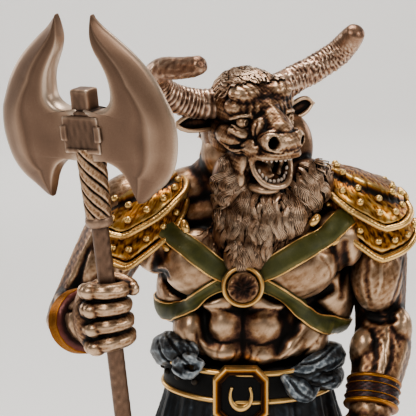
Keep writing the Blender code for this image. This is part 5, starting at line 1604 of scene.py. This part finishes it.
roughened(plates.data, 0.9, 0.07, 82, 2)
plate_rims = whole_of("pauldron_rims", rim_meshes)
plate_rivets = studs("pauldron_rivets", plate_studs, 2)

# %% Bracers
BRACERS = (((-54.5, -17.5, 123.2), (-51.2, -27.5, 125.2), 10.4), ((47.8, -6.6, 100.2), (46.2, -11.6, 91.2), 8.9))


def cuff(ends, radius, bands, name, count=72, ripple=0.0):
    a = Vector(ends[0])
    b = Vector(ends[1])
    axis = (b - a).normalized()
    turn = axis.to_track_quat("Z", "Y").to_matrix()
    rings = []
    for share, grow in bands:
        ring = []
        for j in range(count):
            t = 2 * math.pi * j / count
            r = radius + grow + ripple * math.sin(18 * t) * math.sin(share * 40)
            ring.append(a.lerp(b, share) + turn @ Vector((r * math.cos(t), r * math.sin(t), 0)))
        rings.append(ring)
    return ring_loft(rings, name)


cuff_meshes = []
cuff_rims = []
for near, far, radius in BRACERS:
    cuff_meshes.append(cuff((near, far), radius, [(0.02, -2.0)] + [(0.02 + 0.96 * k / 24, 0.35) for k in range(25)]
                            + [(0.98, -2.0)], "cuff", ripple=0.18))
    spans = [(0.0, 0.16), (0.3, 0.36), (0.64, 0.70), (0.84, 1.0)]
    if radius > 10:
        spans = [(0.15 * k, 0.15 * k + 0.075) for k in range(7)]
    for low, high in spans:
        mid = (low + high) / 2
        half = (high - low) / 2
        bands = [(mid + half * math.cos(b), -0.2 + 1.15 * math.sin(b)) for b in np.linspace(math.pi, 0, 7)]
        bands = [(low, -2.0)] + bands + [(high, -2.0)]
        cuff_rims.append(cuff((near, far), radius, bands, "cuff_rim"))
cuffs = whole_of("bracer_cuffs", cuff_meshes)
cuff_bands = whole_of("bracer_bands", cuff_rims)

# %% [markdown]
# ## The axe
# The axe is modelled upright on its own axis, then leaned into the fist by one matrix. Each half
# blade is a loft between its cutting edge and its inner edge, with a wide soft bevel. The socket
# block, the twisted wrap and the collar follow the real casting.

# %% Blades
BLADE_THICKNESS = 7.4
BLADE_YAW = 36.0
AXE_HEIGHT = 191.5
BLADE_EDGE = ((18.4, -23.6), (20.6, -23.0), (25.3, -19.6), (30.2, -16.0), (33.6, -11.5), (35.7, -5.5), (36.3, 0.5),
              (35.7, 6.0), (34.0, 10.5), (31.0, 16.4), (27.0, 21.9), (22.0, 26.7), (16.7, 30.8), (12.0, 34.2),
              (9.1, 36.9), (7.5, 38.6))
BLADE_INNER = ((18.2, -23.2), (17.3, -20.0), (16.0, -16.3), (13.8, -13.0), (10.5, -10.6), (5.0, -9.0), (-0.6, -8.6),
               (-0.6, 6.8), (5.0, 6.9), (8.8, 7.5), (11.6, 9.2), (13.0, 11.7), (13.0, 15.7), (12.1, 19.4),
               (10.3, 23.0), (8.0, 27.0), (6.9, 30.7), (7.0, 34.5), (7.4, 38.2))


def blade_mesh(side, stations=120, layers=14):
    edge = spline(BLADE_EDGE, stations)
    inner = spline(BLADE_INNER, stations)
    rings = []
    for k in range(stations):
        t = k / (stations - 1)
        body_t = math.sin(math.pi * min(1.0, max(0.0, 0.02 + 0.96 * t))) ** 0.45
        half = BLADE_THICKNESS / 2 * body_t
        e = edge[k]
        i = inner[k]
        wide = max(float(np.linalg.norm(e - i)), 0.1)
        bevel = min(0.5, 8.5 / wide)
        keen = min(0.35, half)
        front = []
        # Five layers cover the bevel and the rest the flat, so the bevel's line stays smooth
        shares = [bevel * j / 5 for j in range(5)] + [bevel + (1 - bevel) * j / (layers - 5) for j in range(layers - 4)]
        for s in shares:
            at = e + (i - e) * s
            if s < bevel:
                thick = keen + (half - keen) * (s / bevel) ** 0.85
            else:
                thick = half - 0.25 * math.sin(math.pi * min(1.0, (s - bevel) / 0.12)) * body_t
            if s > 0.94:
                thick *= 1 - 0.25 * (s - 0.94) / 0.06
            front.append((side * at[0], -thick, at[1]))
        rings.append(front + [(x, -y, z) for x, y, z in front[::-1]])
    return ring_loft(rings, "blade")


lean_size = math.sqrt(1 + HAFT_LEAN[0] ** 2 + HAFT_LEAN[1] ** 2)
blade_z = AXE_HEIGHT * lean_size
wrap_low = blade_z - 28.5
wrap_high = blade_z - 5.7
haft_line = (haft_at(100) - haft_at(0)).normalized()
flat_way = Vector((math.cos(math.radians(BLADE_YAW)), -math.sin(math.radians(BLADE_YAW)), 0))
flat_way = (flat_way - haft_line * flat_way.dot(haft_line)).normalized()
STAND = Matrix.Translation(haft_at(0)) @ Matrix((flat_way, haft_line.cross(flat_way), haft_line)).transposed().to_4x4()


def stood(name, mesh):
    mesh.transform(STAND)
    at = coords(mesh)
    at[:, 2] = np.maximum(at[:, 2], 0.0)
    moved(mesh, at)
    return put(name, mesh)


blade_pair = []
for side in (-1, 1):
    mesh = blade_mesh(side)
    mesh.transform(Matrix.Translation((0, 0, blade_z)))
    blade_pair.append(mesh)
blade_graph = bmesh.new()
for mesh in blade_pair:
    blade_graph.from_mesh(mesh)
blade_mesh_whole = bpy.data.meshes.new("blades")
blade_graph.to_mesh(blade_mesh_whole)
blade_graph.free()
blades = stood("axe_blades", blade_mesh_whole)
roughened(blades.data, 9.0, 0.08, 91, 1)


# %% Socket block, nub and haft
def block(name, x, y, z, at_z, cuts=10, soft=0.6):
    graph = bmesh.new()
    bmesh.ops.create_cube(graph, size=1.0, matrix=Matrix.Translation((0, 0, at_z)) @ Matrix.Diagonal((x, y, z, 1.0)))
    bmesh.ops.bevel(graph, geom=graph.edges[:], offset=soft, segments=3, profile=0.6, affect="EDGES")
    mesh = bpy.data.meshes.new(name)
    graph.to_mesh(mesh)
    graph.free()
    return mesh


socket_z = blade_z - 0.9
socket_parts = [block("socket", 15.0, BLADE_THICKNESS + 1.0, 12.6, socket_z)]
for x, z in ((-7.1, 0.6), (7.1, 0.6)):
    # Two raised cheeks stand at the sides of the block
    mesh = block("cheek", 2.6, BLADE_THICKNESS + 1.7, 5.2, socket_z + z, soft=0.5)
    mesh.transform(Matrix.Translation((x, 0, 0)))
    socket_parts.append(mesh)
socket_parts.append(block("collar", 13.2, BLADE_THICKNESS + 1.5, 1.5, socket_z - 5.2, soft=0.4))
socket_parts.append(block("nub", 7.4, 6.2, 9.6, blade_z + 9.3, soft=0.9))
socket_parts.append(block("nub_foot", 9.0, 7.2, 2.2, blade_z + 5.9, soft=0.6))
socket_graph = bmesh.new()
for mesh in socket_parts:
    socket_graph.from_mesh(mesh)
socket_whole = bpy.data.meshes.new("socket")
socket_graph.to_mesh(socket_whole)
socket_graph.free()
# The blocks are fused while they stand upright, so the remesh keeps their faces flat
socket = put("axe_socket", socket_whole)
fuse = socket.modifiers.new("fuse", "REMESH")
fuse.mode = "VOXEL"
fuse.voxel_size = 0.3
ease = socket.modifiers.new("ease", "SMOOTH")
ease.factor = 0.5
ease.iterations = 2
applied(socket)
socket.data.transform(STAND)
roughened(socket.data, 2.6, 0.07, 92, 1)

FOOT_UP = 0.35
haft_profile = [(FOOT_UP, 2.4), (FOOT_UP + 0.4, 2.84)]
haft_profile += [(FOOT_UP + 5 + k * (wrap_low - 10) / 90, 2.9) for k in range(91)]
haft_profile += [(wrap_low - 4.3, 2.9), (wrap_low - 4.1, 3.9), (wrap_low - 3.6, 4.4), (wrap_low - 2.4, 4.72),
                 (wrap_low - 1.2, 4.6), (wrap_low - 0.6, 4.1), (wrap_low + 0.5, 3.6)]
rings = [[(r * math.cos(a), r * math.sin(a), z) for a in np.linspace(0, 2 * math.pi, 40, endpoint=False)]
         for z, r in haft_profile]
haft = stood("axe_haft", ring_loft(rings, "haft"))
roughened(haft.data, 3.0, 0.10, 93, 3)

# %% The twisted leather wrap under the head
wrap_rings = []
WRAP_STARTS = 6
WRAP_TURN = 5.2
for k in range(100):
    t = k / 99
    ring = []
    for j in range(96):
        a = 2 * math.pi * j / 96
        wave = math.cos(WRAP_STARTS * (a + WRAP_TURN * t))
        r = 4.15 + 0.65 * t + 0.55 * (1.0 - math.exp(-(1.0 - wave) / 0.22)) - 0.3
        ring.append((r * math.cos(a), r * math.sin(a), wrap_low - 0.8 + (wrap_high - wrap_low + 1.0) * t))
    wrap_rings.append(ring)
wrap = stood("axe_wrap", ring_loft(wrap_rings, "wrap"))
roughened(wrap.data, 1.6, 0.06, 94, 2)

# %% [markdown]
# ## Rock base
# A low slab of broken rock finishes the figure below the picture's edge. Layers of repeatable waves
# roughen its rim and top, while the underside stays flat so that the statue stands.

# %% Base
BASE_LENGTH = 98.0
BASE_WIDTH = 78.0
base_draw = random.Random(21)
rims = np.array([1 + base_draw.uniform(-0.05, 0.03) for _ in range(40)])
rings = []
BASE_SEGMENTS = 240
base_levels = ((0.0, 0.975), (0.06, 0.985), (0.25, 1.0), (0.45, 0.985), (0.62, 0.97), (0.75, 0.975), (0.86, 0.985),
               (0.95, 0.965), (1.0, 0.93))
base_levels += tuple((1.0, 0.93 - 0.0387 * k) for k in range(1, 24))
for z, grow in base_levels:
    ring = []
    for j in range(BASE_SEGMENTS):
        share = j / BASE_SEGMENTS * 40
        rim = np.interp(share, np.arange(41), np.append(rims, rims[0]))
        a = 2 * math.pi * j / BASE_SEGMENTS
        rough = rim + (0.012 * math.sin(7 * a + 9 * z) if z > 0 else 0.0)
        ring.append((BASE_LENGTH / 2 * grow * rough * math.cos(a), BASE_WIDTH / 2 * grow * rough * math.sin(a) - 1.0,
                     8.5 * z - 8.8))
    rings.append(ring)
base = put("rock_base", ring_loft(rings, "rock_base"))
at = coords(base.data)
top = np.clip((at[:, 2] + 8.8) / 8.5, 0, 1)
near_edge = np.hypot(at[:, 0] / 49, (at[:, 1] + 1) / 39)
rough_share = np.clip((near_edge - 0.70) / 0.2, 0.0, 1.0) * np.clip(top * 4, 0, 1)
drop_by = (0.5 + 0.5 * waves(at, 11.0, 101)) * 0.9 + 0.25 * (0.5 + 0.5 * waves(at, 3.0, 102))
at -= normals(base.data) * (rough_share * drop_by)[:, None]
quiet = (1 - rough_share) * (top > 0.95)
at[:, 2] -= quiet * (0.12 * (1 + waves(at, 5.0, 103)))
moved(base.data, at)

# %% [markdown]
# ## Finishes on, and everything tied to the frame
# Every piece rides on the one body, hides the CAD solid that it stands for, and carries its relief.

# %% Dress the pieces
done(torso, "torso", BRONZE, fine=(6, 0.2), broad=(36, 1.3))
done(axe_arm, "axe_arm", BRONZE, fine=(6, 0.2), broad=(36, 1.2))
done(fist, "gripping_fist", BRONZE, fine=(5, 0.15), broad=(40, 0.7))
done(free_arm, "free_arm", BRONZE, fine=(6, 0.2), broad=(36, 1.2))
done(head, "head", BRONZE, fine=(4, 0.13), broad=(30, 0.6), lean=0.02)
# Painted shade inside the open mouth
shade_into(head, HEAD, (0, -9.8, -19.6), (8.0, 9.6, 7.0), 1.0)
done(tongue, "tongue", BRONZE, lean=-0.3)
done(near_horn, "near_horn", HORN, fine=(4, 0.16), broad=(30, 0.9), lean=-0.03)
done(far_horn, "far_horn", HORN, fine=(4, 0.16), broad=(30, 0.9), lean=-0.04)
done(ears, "ears", BRONZE, fine=(4, 0.06), broad=(30, 0.3))
done(eyes, "eyes", BRONZE, fine=(3, 0.06), broad=(12, 0.25), lean=0.16)
done(teeth, "teeth", BONE, fine=(2, 0.3), broad=(6, 0.6))
done(beard, "beard", HAIR, fine=(3, 0.10), broad=(26, 0.55))
done(locks, "beard_locks", HAIR, fine=(1, 0.2), broad=(3, 0.45), lean=-0.02)
done(crown, "crown_tufts", HAIR, fine=(1, 0.16), broad=(3, 0.5))
done(mane, "mane", HAIR, fine=(3, 0.06), broad=(26, 0.4))
done(curls, "chest_curls", HAIR, fine=(1, 0.2), broad=(3, 0.4), lean=0.1)
done(legs, "furry_legs", HAIR, fine=(3, 0.07), broad=(26, 0.4))
done(hooves, "hooves", BLACK, fine=(1, 0.2), broad=(3, 1.5))
done(straps, "harness_straps", OLIVE, fine=(1, 0.3), broad=(3, 2.5))
done(strap_edges, "strap_piping", BRIGHT_GOLD, fine=(2, 0.1), broad=(6, 0.4), lean=0.05)
done(strap_rivets, "strap_rivets", OLIVE, fine=(2, 0.2), broad=(5, 0.5), lean=0.1)
done(boss, "chest_boss", BRONZE, fine=(4, 0.16), broad=(30, 1.6), lean=-0.26)
done(boss_ring, "boss_ring", BRIGHT_GOLD, fine=(2, 0.2), broad=(6, 1.0))
done(clasps, "strap_clasps", BRIGHT_GOLD, fine=(2, 0.1), broad=(8, 0.4))
done(belt, "belt", BLACK, fine=(1, 0.5), broad=(2, 3.0))
done(piping, "belt_piping", BRIGHT_GOLD, fine=(2, 0.1), broad=(6, 0.4), lean=0.05)
done(belt_studs, "belt_studs", BLACK, fine=(2, 0.2), broad=(5, 0.5), lean=0.12)
done(buckle_frame, "buckle_frame", BRIGHT_GOLD, fine=(2, 0.1), broad=(6, 0.4), lean=0.05, smooth=False)
done(buckle_plate, "buckle_plate", BLACK, fine=(1, 1.0), broad=(2, 4.0), smooth=False)
done(buckle_horns, "buckle_horns", BRIGHT_GOLD, fine=(2, 0.1), broad=(6, 0.4), lean=0.05)
done(hip_cloth, "hip_cloth", CLOTH, fine=(6, 0.2), broad=(40, 1.2))
done(kilt, "kilt", CLOTH, fine=(3, 0.2), broad=(12, 1.2))
done(hem, "kilt_hem", BRIGHT_GOLD, fine=(2, 0.1), broad=(6, 0.4))
done(plates, "pauldron_plates", GOLD, fine=(3, 0.12), broad=(10, 0.8), lean=-0.02)
done(plate_rims, "pauldron_rims", BRIGHT_GOLD, fine=(2, 0.1), broad=(6, 0.4), lean=0.08)
done(plate_rivets, "pauldron_rivets", GOLD, fine=(2, 0.2), broad=(5, 0.5), lean=0.1)
done(cuffs, "bracer_cuffs", RED, fine=(1, 0.3), broad=(3, 2.0))
done(cuff_bands, "bracer_bands", GOLD, fine=(1, 0.3), broad=(3, 1.2))
done(blades, "axe_blades", BLADE, "axe", fine=(4, 0.6), broad=(30, 4.0))
done(socket, "axe_socket", BLADE, "axe", fine=(4, 0.15), broad=(30, 0.6))
done(haft, "axe_haft", BLADE, "axe", fine=(1, 0.25), broad=(3, 2.0), lean=0.02)
done(wrap, "axe_wrap", BRONZE, "axe", fine=(3, 0.08), broad=(20, 0.3))
done(base, "rock_base", ROCK, "base", fine=(4, 0.12), broad=(20, 0.5))
drop(mass)
print("most triangles:", max(triangle_count.items(), key=lambda item: item[1]))
print("triangles in all:", sum(triangle_count.values()))

# %% [markdown]
# ## The studio floor
# A pale floor that curves up behind the statue gives a seamless background.

# %% Floor and sweep
sweep_points = []
sweep_faces = []
# The wall stands well back, so a camera that goes round the statue stays in front of it
profile = [(-3.0, 0.0), (2.4, 0.0)]
profile += [(2.4 + 0.5 * math.sin(a), 0.5 - 0.5 * math.cos(a)) for a in np.linspace(0.1, math.pi / 2, 14)]
profile.append((2.9, 3.2))
for x in (-3.5, 3.5):
    sweep_points += [(x, y, z) for y, z in profile]
for k in range(len(profile) - 1):
    sweep_faces.append((k, k + 1, len(profile) + k + 1, len(profile) + k))
sweep_mesh = bpy.data.meshes.new("studio_floor")
sweep_mesh.from_pydata(sweep_points, [], sweep_faces)
sweep_mesh.shade_smooth()
floor = bpy.data.objects.new("studio_floor", sweep_mesh)
bpy.context.scene.collection.objects.link(floor)
paper, paper_tree, paper_shader = bare_material("pale_paper")
paper_shader.inputs["Base Color"].default_value = linear("#f2f1ef")
paper_shader.inputs["Roughness"].default_value = 0.9
paper_shader.inputs["Emission Color"].default_value = (1.0, 1.0, 1.0, 1.0)
paper_shader.inputs["Emission Strength"].default_value = 0.22
sweep_mesh.materials.append(paper)
floor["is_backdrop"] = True

# %% Sizes, and the last step
visual_box = [list(map(float, corner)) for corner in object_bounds()]
print("visual box in mm:", [[round(1000 * v, 1) for v in corner] for corner in visual_box])
